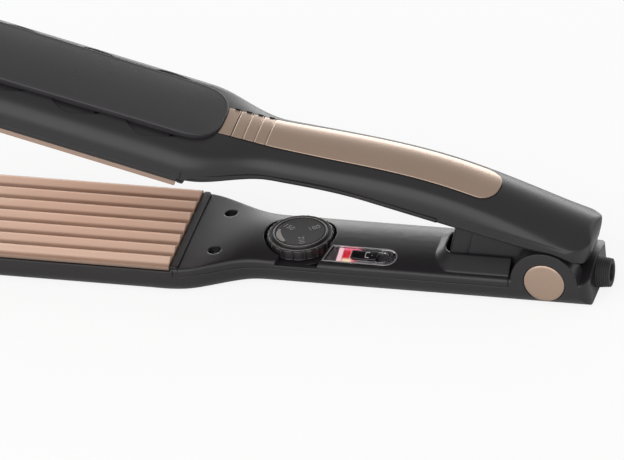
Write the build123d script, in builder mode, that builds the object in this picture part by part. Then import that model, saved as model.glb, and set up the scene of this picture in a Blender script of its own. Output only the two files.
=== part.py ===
from build123d import *
from math import cos, pi, radians, sin
import os

os.makedirs("parts", exist_ok=True)

# Driving dimensions, in millimetres and degrees
plate_length = 96.0
ridge_count = 7
ridge_pitch = 7.2
ridge_height = 2.15
ridge_land = 0.4
plate_thickness = 1.6
plate_gap_closed = 0.3
end_bar = 2.8
nose_length = 4.8
nose_radius = 9.0
handle_length = 132.7
handle_width = 31.0
handle_thickness = 13.0
body_overlap = 0.5
rim_step = 2.4
tail_length = 16.0
open_angle = 15.0
wall = 1.8
seam = 0.2
slip = 0.3

# Hinge
hinge_height = 10.4
pin_diameter = 4.0
pin_fit = 0.05
ear_radius = 12.2
neck_width = 14.2
neck_reach = 32.4
neck_radius = 8.2
neck_base = 3.2
neck_gap = 0.5
pocket_reach = 38.7
pocket_corner = 5.0
collar_height = 2.0
collar_land = 0.6
collar_slope = 2.8
washer_thickness = 0.4
cap_radius = 7.5
cap_thickness = 2.4
cap_proud = 0.5
spring_radius = 4.2
spring_wire = 1.2
spring_width = 8.0

# Temperature dial
dial_setback = 39.4
dial_diameter = 24.6
dial_height = 3.9
dial_proud = 0.2
dial_disc_diameter = 18.0
dial_disc_height = 0.6
dial_lobes = 16
dial_lobe_radius = 1.6
dial_lobe_depth = 0.45
dial_gap = 0.8
dial_shaft = 4.0
dial_collar = 6.0

# Window and slide switch
window_start = 11.2
window_length = 26.6
window_width = 7.9
window_offset = 9.3
window_tilt = 12.0
window_thickness = 1.6
window_slant = 2.4
slider_length = 9.5
slider_width = 4.2
slider_start = 21.2
slider_proud = 0.7
slider_travel = 3.0
led_diameter = 3.0
led_position = 18.0

# Board, potentiometer and switch body
board_length = 54.0
board_width = 23.0
board_thickness = 1.4
board_height = 3.0
pot_diameter = 14.0
pot_height = 2.7
switch_length = 14.0
switch_width = 5.0
switch_height = 3.2

# Screws
screw_hole = 4.8
screw_head = 4.4
screw_head_height = 1.7
screw_shank = 2.6
screw_length = 7.0
screw_setback = 10.6
screw_spacing = 24.0
boss_diameter = 7.2

# Heater stack
frame_width = 47.2
frame_wall = 3.0
frame_floor = 1.4
frame_chamfer = 2.6
upper_frame_depth = 8.2
heater_length = 78.0
heater_width = 16.0
heater_thickness = 2.6
clip_thickness = 0.5
sensor_diameter = 3.0
sensor_length = 9.0
lead_diameter = 1.4

# Upper arm
handle_lift = 7.8
back_rise = 15.2
deck_height = 26.4
deck_wall = 3.4
cover_half_width = 16.5
cover_edge = 1.5
cover_crown = 2.1
inlay_half_width = 9.5
inlay_length = 103.0
inlay_thickness = 1.6
inlay_proud = 0.35
groove_count = 4
groove_width = 2.4
groove_pitch = 4.1
groove_depth = 0.5
crease_height = 3.2
upper_tail = 13.0
scallop_count = 3
scallop_pitch = 28.0
scallop_width = 4.4
scallop_depth = 2.4

# Cord inlet
gland_diameter = 11.4
gland_reach = 5.0
gland_bore = 6.4
inlet_bore = 8.4
inlet_height = 6.8

# Stations along the arm and heights, worked out from the driving dimensions
plate_width = ridge_count * ridge_pitch
body_half = plate_width / 2 + body_overlap
handle_half = handle_width / 2
overall = nose_length + 2 * end_bar + plate_length + handle_length + tail_length + gland_reach
tip_x = -overall / 2
plate_front = tip_x + nose_length + end_bar
plate_rear = plate_front + plate_length
bar_rear = plate_rear + end_bar
hinge_x = bar_rear + handle_length
tail_x = hinge_x + tail_length
dial_x = bar_rear + dial_setback
rim_z = handle_thickness - rim_step
valley_depth = (ridge_height + plate_gap_closed) / 2
plate_mid_z = rim_z + 0.6 + valley_depth
upper_rim_z = 2 * plate_mid_z - rim_z
handle_under = plate_mid_z + handle_lift
back_top = handle_under + back_rise
taper_length = 31.0
arch_length = 63.4
peak_x = bar_rear + 87.4
window_x = dial_x + window_start
neck_half = neck_width / 2
pocket_half = neck_half + neck_gap
pocket_x = hinge_x - pocket_reach
relief_radius = ear_radius + neck_gap
tail_wall = 6.5
reach = 200.0
section_spacing = 7.0
tail_spread = 16.0

# Frames of the two arms: the upper arm is drawn closed and turned open about the hinge
tilt = radians(open_angle)
along = Vector(cos(tilt), 0, -sin(tilt))
outward = Vector(sin(tilt), 0, cos(tilt))
hinge_point = Vector(hinge_x, 0, hinge_height)
lower_arm = Plane.XY
upper_arm = Plane(
    origin=hinge_point - along * hinge_x - outward * hinge_height,
    x_dir=along,
    z_dir=outward,
)


def level(arm, height):
    """Plane parallel to the arm's length and width, at a height."""
    return arm.offset(height)


def side(arm, y=0.0):
    """Upright plane along the arm: its x runs to the hinge and its y runs up."""
    return Plane(arm.from_local_coords((0, y, 0)), x_dir=arm.x_dir, z_dir=-arm.y_dir)


def across(arm, x):
    """Upright plane across the arm: its x is the arm's y and its y runs up."""
    return Plane(arm.from_local_coords((x, 0, 0)), x_dir=arm.y_dir, z_dir=arm.x_dir)


def ease(start, end, x, x0, x1):
    """Smooth change from start at x0 to end at x1."""
    t = min(max((x - x0) / (x1 - x0), 0.0), 1.0)
    return start + (end - start) * t * t * (3 - 2 * t)


def half_width(x):
    """Half width of both arms at a station."""
    return ease(body_half, handle_half, x, bar_rear - 3, bar_rear - 3 + taper_length)


def lower_top(x):
    """Height of the lower arm's inner face."""
    return ease(rim_z, handle_thickness, x, bar_rear, bar_rear + 26)


def upper_base(x):
    """Height of the upper arm's underside, closed."""
    return ease(upper_rim_z, handle_under, x, bar_rear, bar_rear + arch_length)


def upper_top(x):
    """Height of the upper arm's back, closed."""
    rise = ease(deck_height, back_top, x, bar_rear - 10, peak_x)
    return rise - ease(0, 6.4, x, peak_x, hinge_x + 32)


def body_section(arm, x, half, base, corner, side_top, shoulder, shoulder_z, crown):
    """Closed section across an arm: flat base, round corners, upright sides and a crowned top."""
    diagonal = corner * sin(pi / 4)
    with BuildSketch(across(arm, x)) as section:
        with BuildLine():
            Line((corner - half, base), (half - corner, base))
            ThreePointArc(
                (half - corner, base),
                (half - corner + diagonal, base + corner - diagonal),
                (half, base + corner),
            )
            Line((half, base + corner), (half, side_top))
            back = ThreePointArc((shoulder, shoulder_z), (0, crown), (-shoulder, shoulder_z))
            Spline((half, side_top), (shoulder, shoulder_z), tangents=((0, 1), back % 0))
            Spline((-shoulder, shoulder_z), (-half, side_top), tangents=(back % 1, (0, -1)))
            Line((-half, side_top), (-half, base + corner))
            ThreePointArc(
                (-half, base + corner),
                (corner - half - diagonal, base + corner - diagonal),
                (corner - half, base),
            )
        make_face()
    return section.sketch


def lower_section(x, grow):
    """Section of the lower arm, grown outwards by a small amount."""
    half = half_width(x)
    top = lower_top(x)
    corner = ease(5.0, 6.0, x, bar_rear, bar_rear + taper_length)
    drop = ease(0.3, 2.0, x, bar_rear, bar_rear + taper_length)
    inset = ease(1.0, 2.4, x, bar_rear, bar_rear + taper_length)
    return body_section(
        lower_arm, x, half + grow, -grow, corner + grow, top - drop - 1.9 + grow / 2,
        half - inset + 0.7 * grow, top - drop + 0.8 * grow, top + grow,
    )


def upper_section(x, grow, lowered=0.0):
    """Section of the upper arm, grown outwards by a small amount; its back may be lowered."""
    half = half_width(x)
    base = upper_base(x)
    top = upper_top(x) - lowered
    corner = ease(1.5, 4.0, x, bar_rear, bar_rear + taper_length) + grow / 4
    upright = ease(2.7, 0.4, x, bar_rear, bar_rear + taper_length)
    inset = ease(6.7, 3.5, x, bar_rear - 10, bar_rear + taper_length)
    drop = ease(1.4, 2.9, x, bar_rear - 10, bar_rear + taper_length)
    return body_section(
        upper_arm, x, half + grow, base - grow, corner, base - grow + corner + upright,
        half - inset + 0.7 * grow, top - drop + 0.8 * grow, top + grow,
    )


def arm_body(arm, section, end_x, grow):
    """Solid of an arm, lofted through evenly spaced sections."""
    start_x = tip_x - 1
    count = round((end_x - start_x) / section_spacing)
    stations = [start_x + (end_x - start_x) * step / count for step in range(count + 1)]
    with BuildPart() as body:
        loft([section(x, grow) for x in stations])
    return body.part


def plan_prism(arm, end_x, front, rear):
    """Upright prism over the plan of an arm: it rounds the nose and the rear end."""
    with BuildPart() as prism:
        with BuildSketch(level(arm, -reach / 2)):
            with Locations(((tip_x + dial_x) / 2, 0)):
                RectangleRounded(dial_x - tip_x, 2 * (body_half + 0.2), front)
            with Locations(((plate_rear + end_x) / 2, 0)):
                RectangleRounded(end_x - plate_rear, 2 * (handle_half + 0.2), rear)
            with Locations(((plate_front + dial_x) / 2 + front, 0)):
                Rectangle(dial_x - plate_front, 2 * (body_half + 0.2))
        extrude(amount=reach)
    return prism.part


def block(arm, x0, x1, half, z0, z1, y=0.0):
    """Square block between two stations and two heights."""
    with BuildPart() as brick:
        with BuildSketch(level(arm, z0)):
            with Locations(((x0 + x1) / 2, y)):
                Rectangle(x1 - x0, 2 * half)
        extrude(amount=z1 - z0)
    return brick.part


def crossbar(arm, x, z, radius, y0, y1):
    """Cylinder across the arm, between two places along y."""
    with BuildPart() as bar:
        with BuildSketch(side(arm, y1)):
            with Locations((x, z)):
                Circle(radius)
        extrude(amount=y1 - y0)
    return bar.part


def nose_profile(arm, tip_top, tip_base, round_top, round_base):
    """Side outline that rounds the nose of an arm and leaves the rest of its height free."""
    with BuildPart() as profile:
        with BuildSketch(side(arm, reach / 2)) as outline:
            with Locations((tip_x + reach, (tip_top + tip_base) / 2)):
                Rectangle(2 * reach, tip_top - tip_base)
            corners = outline.vertices().group_by(Axis.X)[0].sort_by(Axis.Y)
            fillet(corners[-1], round_top)
            fillet(outline.vertices().group_by(Axis.X)[0].sort_by(Axis.Y)[0], round_base)
            with Locations((tip_x + 2 * nose_radius + reach, 0)):
                Rectangle(2 * reach, reach)
        extrude(amount=reach)
    return profile.part


def tail_profile(arm, end_x, top, base, round_top, round_base):
    """Side outline that rounds the rear end of an arm; it widens towards the nose."""
    front_x = tip_x - 2
    with BuildPart() as profile:
        with BuildSketch(side(arm, reach / 2)) as outline:
            with BuildLine():
                Polyline(
                    (front_x, base - tail_spread),
                    (end_x, base),
                    (end_x, top),
                    (front_x, top + 2 * tail_spread),
                    close=True,
                )
            make_face()
            fillet(outline.vertices().group_by(Axis.X)[-1].sort_by(Axis.Y)[-1], round_top)
            fillet(outline.vertices().group_by(Axis.X)[-1].sort_by(Axis.Y)[0], round_base)
        extrude(amount=reach)
    return profile.part


# Lower arm envelope, its inside and the places of its pieces
parting_z = handle_thickness - 5.5
pocket_rear = tail_x - tail_wall
cover_start = bar_rear + seam
cover_end = hinge_x - ear_radius - 1.0
seat_z = plate_mid_z - valley_depth - plate_thickness - seam
stack_half = frame_width / 2 + slip
stack_front = plate_front - end_bar - slip
bay_front = cover_start + 2 * wall
bay_rear = pocket_x - wall
screw_x = bar_rear + screw_setback
screw_points = [(screw_x, screw_spacing / 2), (screw_x, -screw_spacing / 2)]
board_x = dial_x + 13.0
boss_top = parting_z - 2.1
screw_seat = boss_top + 1.8
lead_depth = 5.8
lead_y = 3.0
lead_hole = lead_diameter + 0.5

with BuildPart() as lower_envelope:
    add(arm_body(lower_arm, lower_section, tail_x, 0.0))
    add(plan_prism(lower_arm, tail_x, nose_radius, 5.0), mode=Mode.INTERSECT)
    add(nose_profile(lower_arm, rim_z + 4, 0.0, 5.0, 5.0), mode=Mode.INTERSECT)

lower_cavity = arm_body(lower_arm, lower_section, tail_x, -wall)
lower_bay = lower_cavity & block(lower_arm, bay_front, bay_rear, body_half, wall, reach)
lower_lead_z = plate_mid_z - lead_depth

with BuildPart() as pocket:
    with BuildSketch(level(lower_arm, wall)) as pocket_plan:
        with Locations(((pocket_x + pocket_rear) / 2, 0)):
            Rectangle(pocket_rear - pocket_x, 2 * pocket_half)
        fillet(pocket_plan.vertices().group_by(Axis.X)[0], pocket_corner)
    extrude(amount=reach)

# Lower outer shell: plate tub, handle trough, hinge ears, pocket floor and tail
ear_width = handle_half - pocket_half
ear_top = ear_radius + hinge_height
ear_room = extrude(
    body_section(
        lower_arm, hinge_x - ear_radius - 1, handle_half + slip, 0.0, 7.5,
        ear_top, handle_half - 1, ear_top + 2, ear_top + 3,
    ),
    amount=2 * ear_radius + 2,
)
with BuildPart() as lower_shell:
    add(lower_envelope.part)
    add(block(lower_arm, cover_start, cover_end, body_half + 1, parting_z, reach), mode=Mode.SUBTRACT)
    plate_room = block(
        lower_arm, plate_front - seam, plate_rear + seam, body_half + 1, seat_z, reach
    )
    add(plate_room, mode=Mode.SUBTRACT)
    add(block(lower_arm, stack_front, cover_start, stack_half, wall, reach), mode=Mode.SUBTRACT)
    add(lower_bay, mode=Mode.SUBTRACT)
    for ear_y in (pocket_half, -handle_half):
        ear = crossbar(lower_arm, hinge_x, hinge_height, ear_radius, ear_y, ear_y + ear_width)
        add(ear & ear_room)
    add(pocket.part, mode=Mode.SUBTRACT)
    # Pin bore and cap seats
    pin_bore = pin_diameter / 2 + pin_fit
    add(
        crossbar(lower_arm, hinge_x, hinge_height, pin_bore, -handle_half, handle_half),
        mode=Mode.SUBTRACT,
    )
    cap_seat = handle_half - cap_thickness
    for seat_y in (cap_seat, -handle_half - 1):
        seat = crossbar(
            lower_arm, hinge_x, hinge_height, cap_radius + seam, seat_y, seat_y + cap_thickness + 1
        )
        add(seat, mode=Mode.SUBTRACT)
    # Cord inlet through the tail
    with BuildSketch(across(lower_arm, pocket_rear - 1)):
        with Locations((0, inlet_height)):
            Circle(inlet_bore / 2)
    extrude(amount=tail_wall + 2, mode=Mode.SUBTRACT)
    # Screw bosses, board posts and the way for the heater leads
    with BuildSketch(level(lower_arm, wall / 2)):
        with Locations(*screw_points):
            Circle(boss_diameter / 2)
    extrude(amount=boss_top - wall / 2)
    with BuildSketch(level(lower_arm, wall)):
        with Locations(*screw_points):
            Circle(screw_shank / 2 + pin_fit)
    extrude(amount=boss_top, mode=Mode.SUBTRACT)
    with BuildSketch(level(lower_arm, wall / 2)):
        with Locations((board_x, 0)):
            with GridLocations(board_length - 8, board_width - 9, 2, 2):
                Circle(2.0)
    extrude(amount=board_height - wall / 2)
    with BuildSketch(across(lower_arm, bar_rear - 1)):
        with Locations((lead_y, lower_lead_z), (-lead_y, lower_lead_z)):
            Circle(lead_hole / 2)
    extrude(amount=3 * wall, mode=Mode.SUBTRACT)
lower_shell.part.label = "lower_shell"
export_step(lower_shell.part, "parts/lower_shell.step")

# Window plane on the near shoulder of the cover
crown_drop = window_offset**2 / 88
window_plane = Plane(
    origin=(window_x, -window_offset, handle_thickness - crown_drop),
    x_dir=(1, 0, 0),
    z_dir=(0, -sin(radians(window_tilt)), cos(radians(window_tilt))),
)


def window_outline(plane, grow):
    """Window outline: slanted at the dial, round at the far end."""
    half = window_width / 2 + grow
    end = window_length - window_width / 2
    with BuildSketch(plane) as outline:
        with BuildLine():
            Line((-grow, -half), (end, -half))
            ThreePointArc((end, -half), (end + half, 0), (end, half))
            Line((end, half), (window_slant - grow, half))
            Line((window_slant - grow, half), (-grow, -half))
        make_face()
    return outline.sketch


# Lower inner cover: handle face with the dial well, window opening, screw wells and pocket collar
well_radius = dial_diameter / 2 + dial_gap
dial_top = handle_thickness + dial_proud
dial_base = dial_top - dial_height
well_floor = dial_base - 0.4
floor_base = parting_z + seam
with BuildPart() as collar:
    with BuildSketch(level(lower_arm, handle_thickness + collar_height)) as collar_top:
        with Locations(((pocket_x - collar_land + cover_end) / 2, 0)):
            Rectangle(cover_end - pocket_x + collar_land, 2 * (pocket_half + collar_land))
        fillet(collar_top.vertices().group_by(Axis.X)[0], pocket_corner + collar_land)
    spread = 2 * collar_slope
    with BuildSketch(level(lower_arm, handle_thickness - collar_height)) as collar_base:
        with Locations(((pocket_x - collar_land - spread + cover_end) / 2, 0)):
            Rectangle(
                cover_end - pocket_x + collar_land + spread,
                2 * (pocket_half + collar_land + spread),
            )
        fillet(collar_base.vertices().group_by(Axis.X)[0], pocket_corner + collar_land + spread)
    loft(ruled=True)

with BuildPart() as lower_inner_cover:
    add(lower_envelope.part)
    cover_block = block(
        lower_arm, cover_start, cover_end - seam, body_half + 1, floor_base, reach
    )
    add(cover_block, mode=Mode.INTERSECT)
    add(lower_bay, mode=Mode.SUBTRACT)
    collar_zone = block(
        lower_arm, pocket_x - 12, cover_end - seam, handle_half - 0.6, floor_base, reach
    )
    add(collar.part & collar_zone)
    # Dial well, open towards the near side
    with BuildSketch(level(lower_arm, floor_base)):
        with Locations((dial_x, 0)):
            Circle(well_radius + 1.2)
    cup = extrude(amount=handle_thickness - floor_base, mode=Mode.PRIVATE)
    add(cup & lower_envelope.part)
    with BuildSketch(level(lower_arm, well_floor)):
        with Locations((dial_x, 0)):
            Circle(well_radius)
        with BuildLine():
            Polyline(
                (dial_x - 6.4, -handle_half - 1),
                (dial_x + 9.4, -handle_half - 1),
                (dial_x + window_start + window_slant - 0.9, -window_offset + window_width / 2),
                (dial_x, 0),
                (dial_x - 6.4, -handle_half - 1),
            )
        make_face()
    extrude(amount=handle_thickness, mode=Mode.SUBTRACT)
    with BuildSketch(level(lower_arm, floor_base)):
        with Locations((dial_x, 0)):
            Circle(dial_collar / 2)
    extrude(amount=handle_thickness, mode=Mode.SUBTRACT)
    # Window opening
    add(
        extrude(window_outline(window_plane, slip / 2), amount=4, both=True, mode=Mode.PRIVATE),
        mode=Mode.SUBTRACT,
    )
    add(
        extrude(
            window_outline(window_plane.offset(-window_thickness - 0.6), 0.9 + slip),
            amount=-3,
            mode=Mode.PRIVATE,
        ),
        mode=Mode.SUBTRACT,
    )
    # Screw wells
    with BuildSketch(level(lower_arm, boss_top + seam)):
        with Locations(*screw_points):
            Circle(boss_diameter / 2)
    wells = extrude(amount=handle_thickness - boss_top, mode=Mode.PRIVATE)
    add(wells & lower_envelope.part)
    with BuildSketch(level(lower_arm, screw_seat)):
        with Locations(*screw_points):
            Circle(screw_hole / 2)
    extrude(amount=handle_thickness, mode=Mode.SUBTRACT)
    with BuildSketch(level(lower_arm, boss_top)):
        with Locations(*screw_points):
            Circle(screw_shank / 2 + slip / 2)
    extrude(amount=handle_thickness, mode=Mode.SUBTRACT)
    add(pocket.part, mode=Mode.SUBTRACT)
lower_inner_cover.part.label = "lower_inner_cover"
export_step(lower_inner_cover.part, "parts/lower_inner_cover.step")

# Temperature dial: scalloped skirt, shaft and a seat for its face disc
with BuildPart() as temperature_dial:
    with BuildSketch(level(lower_arm, dial_base)):
        with Locations((dial_x, 0)):
            Circle(dial_diameter / 2)
            with PolarLocations(dial_diameter / 2 + dial_lobe_radius - dial_lobe_depth, dial_lobes):
                Circle(dial_lobe_radius, mode=Mode.SUBTRACT)
    extrude(amount=dial_height)
    with BuildSketch(level(lower_arm, dial_top)):
        with Locations((dial_x, 0)):
            Circle(dial_disc_diameter / 2 + 1.0)
            Circle(dial_disc_diameter / 2, mode=Mode.SUBTRACT)
    extrude(amount=dial_disc_height)
    with BuildSketch(level(lower_arm, board_height + board_thickness + 0.6)):
        with Locations((dial_x, 0)):
            Circle(dial_shaft / 2)
    extrude(amount=dial_base - board_height - board_thickness)
temperature_dial.part.label = "temperature_dial"
export_step(temperature_dial.part, "parts/temperature_dial.step")

# Dial face: the disc that carries the scale
with BuildPart() as dial_face:
    with BuildSketch(level(lower_arm, dial_top)):
        with Locations((dial_x, 0)):
            Circle(dial_disc_diameter / 2 - pin_fit)
    extrude(amount=dial_disc_height - 0.1)
dial_face.part.label = "dial_face"
export_step(dial_face.part, "parts/dial_face.step")

# Switch window with its inner flange and the slot for the button
slot_start = slider_start - slip
slot_length = slider_length + slider_travel + 2 * slip
with BuildPart() as switch_window:
    extrude(window_outline(window_plane, 0), amount=-window_thickness - 0.8)
    extrude(window_outline(window_plane.offset(-window_thickness - 0.8), 0.9), amount=-0.8)
    with BuildSketch(window_plane.offset(1)):
        with Locations((slot_start - window_start + slot_length / 2, 0)):
            Rectangle(slot_length, slider_width + 2 * slip)
    extrude(amount=-6, mode=Mode.SUBTRACT)
switch_window.part.label = "switch_window"
export_step(switch_window.part, "parts/switch_window.step")

# Slide switch button: ribbed top in the slot and a stem into the switch
board_top = board_height + board_thickness
switch_top = board_top + switch_height
slider_mid = dial_x + slider_start + slider_length / 2
with BuildPart() as switch_button:
    with BuildSketch(window_plane.offset(-window_thickness - 1.6)):
        with Locations((slider_start - window_start + slider_length / 2, 0)):
            Rectangle(slider_length, slider_width)
    extrude(amount=window_thickness + 1.6 + slider_proud)
    with BuildSketch(window_plane.offset(slider_proud - 0.4)):
        with Locations((slider_start - window_start + slider_length / 2, 0)):
            with GridLocations(slider_length / 6, 1, 5, 1):
                Rectangle(0.5, slider_width)
    extrude(amount=1, mode=Mode.SUBTRACT)
    with BuildSketch(level(lower_arm, switch_top - 1.2)):
        with Locations((slider_mid, -window_offset)):
            Rectangle(2.0, 2.0)
    extrude(amount=3.0)
switch_button.part.label = "switch_button"
export_step(switch_button.part, "parts/switch_button.step")

# Slide switch body on the board
with BuildPart() as slide_switch:
    with BuildSketch(level(lower_arm, board_top)):
        with Locations((slider_mid + slider_travel / 2, -window_offset)):
            Rectangle(switch_length, switch_width)
    extrude(amount=switch_height)
    with BuildSketch(level(lower_arm, switch_top - 1.5)):
        with Locations((slider_mid + slider_travel / 2, -window_offset)):
            Rectangle(2.0 + slider_travel + 2 * slip, 2.0 + 2 * slip)
    extrude(amount=1.5, mode=Mode.SUBTRACT)
slide_switch.part.label = "slide_switch"
export_step(slide_switch.part, "parts/slide_switch.step")

# Indicator LED with its domed lens
with BuildPart() as indicator_led:
    with BuildSketch(level(lower_arm, board_top)):
        with Locations((dial_x + led_position, -window_offset)):
            Circle(led_diameter / 2)
    extrude(amount=2.6)
    with Locations((dial_x + led_position, -window_offset, board_top + 2.6)):
        Sphere(led_diameter / 2)
indicator_led.part.label = "indicator_led"
export_step(indicator_led.part, "parts/indicator_led.step")

# Control board
with BuildPart() as control_board:
    with BuildSketch(level(lower_arm, board_height)) as board_plan:
        with Locations((board_x, 0)):
            Rectangle(board_length, board_width)
        fillet(board_plan.vertices(), 1.5)
    extrude(amount=board_thickness)
control_board.part.label = "control_board"
export_step(control_board.part, "parts/control_board.step")

# Temperature potentiometer under the dial
with BuildPart() as temperature_pot:
    with BuildSketch(level(lower_arm, board_top)):
        with Locations((dial_x, 0)):
            Circle(pot_diameter / 2)
    extrude(amount=pot_height)
    with BuildSketch(level(lower_arm, board_top + 0.3)):
        with Locations((dial_x, 0)):
            Circle(dial_shaft / 2 + pin_fit)
    extrude(amount=pot_height, mode=Mode.SUBTRACT)
temperature_pot.part.label = "temperature_pot"
export_step(temperature_pot.part, "parts/temperature_pot.step")

# Hinge pin
with BuildPart() as hinge_pin:
    add(crossbar(lower_arm, hinge_x, hinge_height, pin_diameter / 2, -cap_seat, cap_seat))
hinge_pin.part.label = "hinge_pin"
export_step(hinge_pin.part, "parts/hinge_pin.step")

# Hinge caps: discs that follow the rounded side of the arm
cap_shape = extrude(
    body_section(
        lower_arm, hinge_x - cap_radius - 1, handle_half + cap_proud, -cap_proud, 6.0 + cap_proud,
        ear_radius + hinge_height - 2, handle_half, ear_radius + hinge_height,
        ear_radius + hinge_height + 1,
    ),
    amount=2 * cap_radius + 2,
)
for cap_name, cap_y in (("hinge_cap_near", -handle_half - 1), ("hinge_cap_far", cap_seat)):
    with BuildPart() as hinge_cap:
        add(crossbar(lower_arm, hinge_x, hinge_height, cap_radius, cap_y, cap_y + cap_thickness + 1))
        add(cap_shape, mode=Mode.INTERSECT)
    hinge_cap.part.label = cap_name
    export_step(hinge_cap.part, "parts/" + cap_name + ".step")

# Hinge washers between the neck and the ears
with BuildPart() as hinge_washers:
    for washer_y in (neck_half + pin_fit, -neck_half - pin_fit - washer_thickness):
        washer = crossbar(
            lower_arm, hinge_x, hinge_height, pin_diameter, washer_y, washer_y + washer_thickness
        )
        add(washer)
    add(
        crossbar(lower_arm, hinge_x, hinge_height, pin_bore, -handle_half, handle_half),
        mode=Mode.SUBTRACT,
    )
hinge_washers.part.label = "hinge_washers"
export_step(hinge_washers.part, "parts/hinge_washers.step")


def spring_leg(arm, rise, drop, y):
    """Straight leg of the spring, from the coil forwards."""
    start = arm.from_local_coords((hinge_x, y, hinge_height + rise))
    end = arm.from_local_coords((hinge_x - 16, y, hinge_height + drop))
    return Solid.make_cylinder(
        spring_wire / 2, (end - start).length, Plane(origin=start, z_dir=end - start)
    )


# Opening spring: closely wound round the pin, one leg on each arm
coil_mean = spring_radius - spring_wire / 2
with BuildPart() as hinge_spring:
    coil_y = spring_width / 2
    add(crossbar(lower_arm, hinge_x, hinge_height, spring_radius, -coil_y, coil_y))
    add(
        crossbar(lower_arm, hinge_x, hinge_height, spring_radius - spring_wire, -coil_y, coil_y),
        mode=Mode.SUBTRACT,
    )
    add(spring_leg(lower_arm, -coil_mean, wall + 0.9 - hinge_height, coil_y - 1))
    add(spring_leg(upper_arm, coil_mean, coil_mean + 0.6, 1 - coil_y))
hinge_spring.part.label = "hinge_spring"
export_step(hinge_spring.part, "parts/hinge_spring.step")

# Cord gland in the tail
with BuildPart() as cord_gland:
    with BuildSketch(across(lower_arm, pocket_rear)):
        with Locations((0, inlet_height)):
            Circle(inlet_bore / 2 - pin_fit)
    extrude(amount=tail_wall)
    with BuildSketch(across(lower_arm, tail_x)):
        with Locations((0, inlet_height)):
            Circle(gland_diameter / 2)
    extrude(amount=gland_reach, taper=6)
    with BuildSketch(across(lower_arm, pocket_rear - 1)):
        with Locations((0, inlet_height)):
            Circle(gland_bore / 2)
    extrude(amount=tail_wall + gland_reach + 2, mode=Mode.SUBTRACT)
cord_gland.part.label = "cord_gland"
export_step(cord_gland.part, "parts/cord_gland.step")

# Upper arm envelope, its inside and the places of its pieces
upper_end = hinge_x + upper_tail
upper_bay_rear = hinge_x - pocket_reach - 4
neck_front = hinge_x - neck_reach
upper_boss_z = upper_base(screw_x) + 4.6
upper_seat_z = upper_boss_z - 1.6
upper_lead_z = plate_mid_z + lead_depth
upper_run_z = handle_under + wall + 1.4
cover_base = deck_height + seam
cover_front = tip_x + 6.0
cover_rear = cover_start + 4.4

with BuildPart() as upper_envelope:
    add(arm_body(upper_arm, upper_section, upper_end, 0.0))
    add(plan_prism(upper_arm, upper_end, nose_radius, 11.0), mode=Mode.INTERSECT)
    add(nose_profile(upper_arm, deck_height + slip, upper_rim_z - 6, 7.0, 6.5), mode=Mode.INTERSECT)
    add(
        tail_profile(upper_arm, upper_end, upper_top(upper_end), handle_under - slip, 5.0, 3.0),
        mode=Mode.INTERSECT,
    )



def upper_room(x, grow):
    """Section of the room inside the upper arm: its back is thicker, to carry the inlay's seat."""
    return upper_section(x, grow, inlay_thickness)


upper_cavity = arm_body(upper_arm, upper_room, upper_end, -wall)

# Parting of the upper arm: a line along the side, a fixed height above the underside
with BuildPart() as upper_parting:
    with BuildSketch(side(upper_arm, body_half + 2)):
        with BuildLine():
            crease = [
                (cover_start + (upper_bay_rear - cover_start) * step / 6)
                for step in range(7)
            ]
            line = Spline(*[(x, upper_base(x) + crease_height) for x in crease])
            Polyline(line @ 1, (upper_bay_rear, 0), (cover_start, 0), line @ 0)
        make_face()
    extrude(amount=2 * body_half + 4)

# Upper inner cover: the underside of the handle
with BuildPart() as upper_inner_cover:
    add(upper_envelope.part)
    add(upper_parting.part, mode=Mode.INTERSECT)
    inner_bay = block(
        upper_arm, cover_start + wall, upper_bay_rear - wall, body_half, 0, reach
    )
    add(upper_cavity & inner_bay, mode=Mode.SUBTRACT)
    with BuildSketch(level(upper_arm, upper_seat_z - 4.0)):
        with Locations(*screw_points):
            Circle(boss_diameter / 2)
    towers = extrude(amount=4.0 + 1.6 - seam, mode=Mode.PRIVATE)
    add(towers & upper_envelope.part)
    with BuildSketch(level(upper_arm, upper_seat_z)):
        with Locations(*screw_points):
            Circle(screw_hole / 2)
    extrude(amount=-reach, mode=Mode.SUBTRACT)
    with BuildSketch(level(upper_arm, upper_seat_z - 1)):
        with Locations(*screw_points):
            Circle(screw_shank / 2 + slip / 2)
    extrude(amount=8, mode=Mode.SUBTRACT)
upper_inner_cover.part.label = "upper_inner_cover"
export_step(upper_inner_cover.part, "parts/upper_inner_cover.step")


def inlay_outline(height, grow):
    """Outline of the grip inlay, seen from above: square at the grooves, round at the hinge."""
    start = cover_start + 5.0
    with BuildSketch(level(upper_arm, height)) as outline:
        with Locations((start + inlay_length / 2, 0)):
            Rectangle(inlay_length + 2 * grow, 2 * inlay_half_width + 2 * grow)
        fillet(outline.vertices().group_by(Axis.X)[-1], 6.0)
        fillet(outline.vertices().group_by(Axis.X)[0], 1.0)
    return outline.sketch


def cover_outline(height, grow):
    """Outline of the top cover, seen from above."""
    with BuildSketch(level(upper_arm, height)) as outline:
        with Locations(((cover_front + cover_rear) / 2, 0)):
            SlotOverall(cover_rear - cover_front + 2 * grow, 2 * (cover_half_width + grow))
    return outline.sketch


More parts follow.
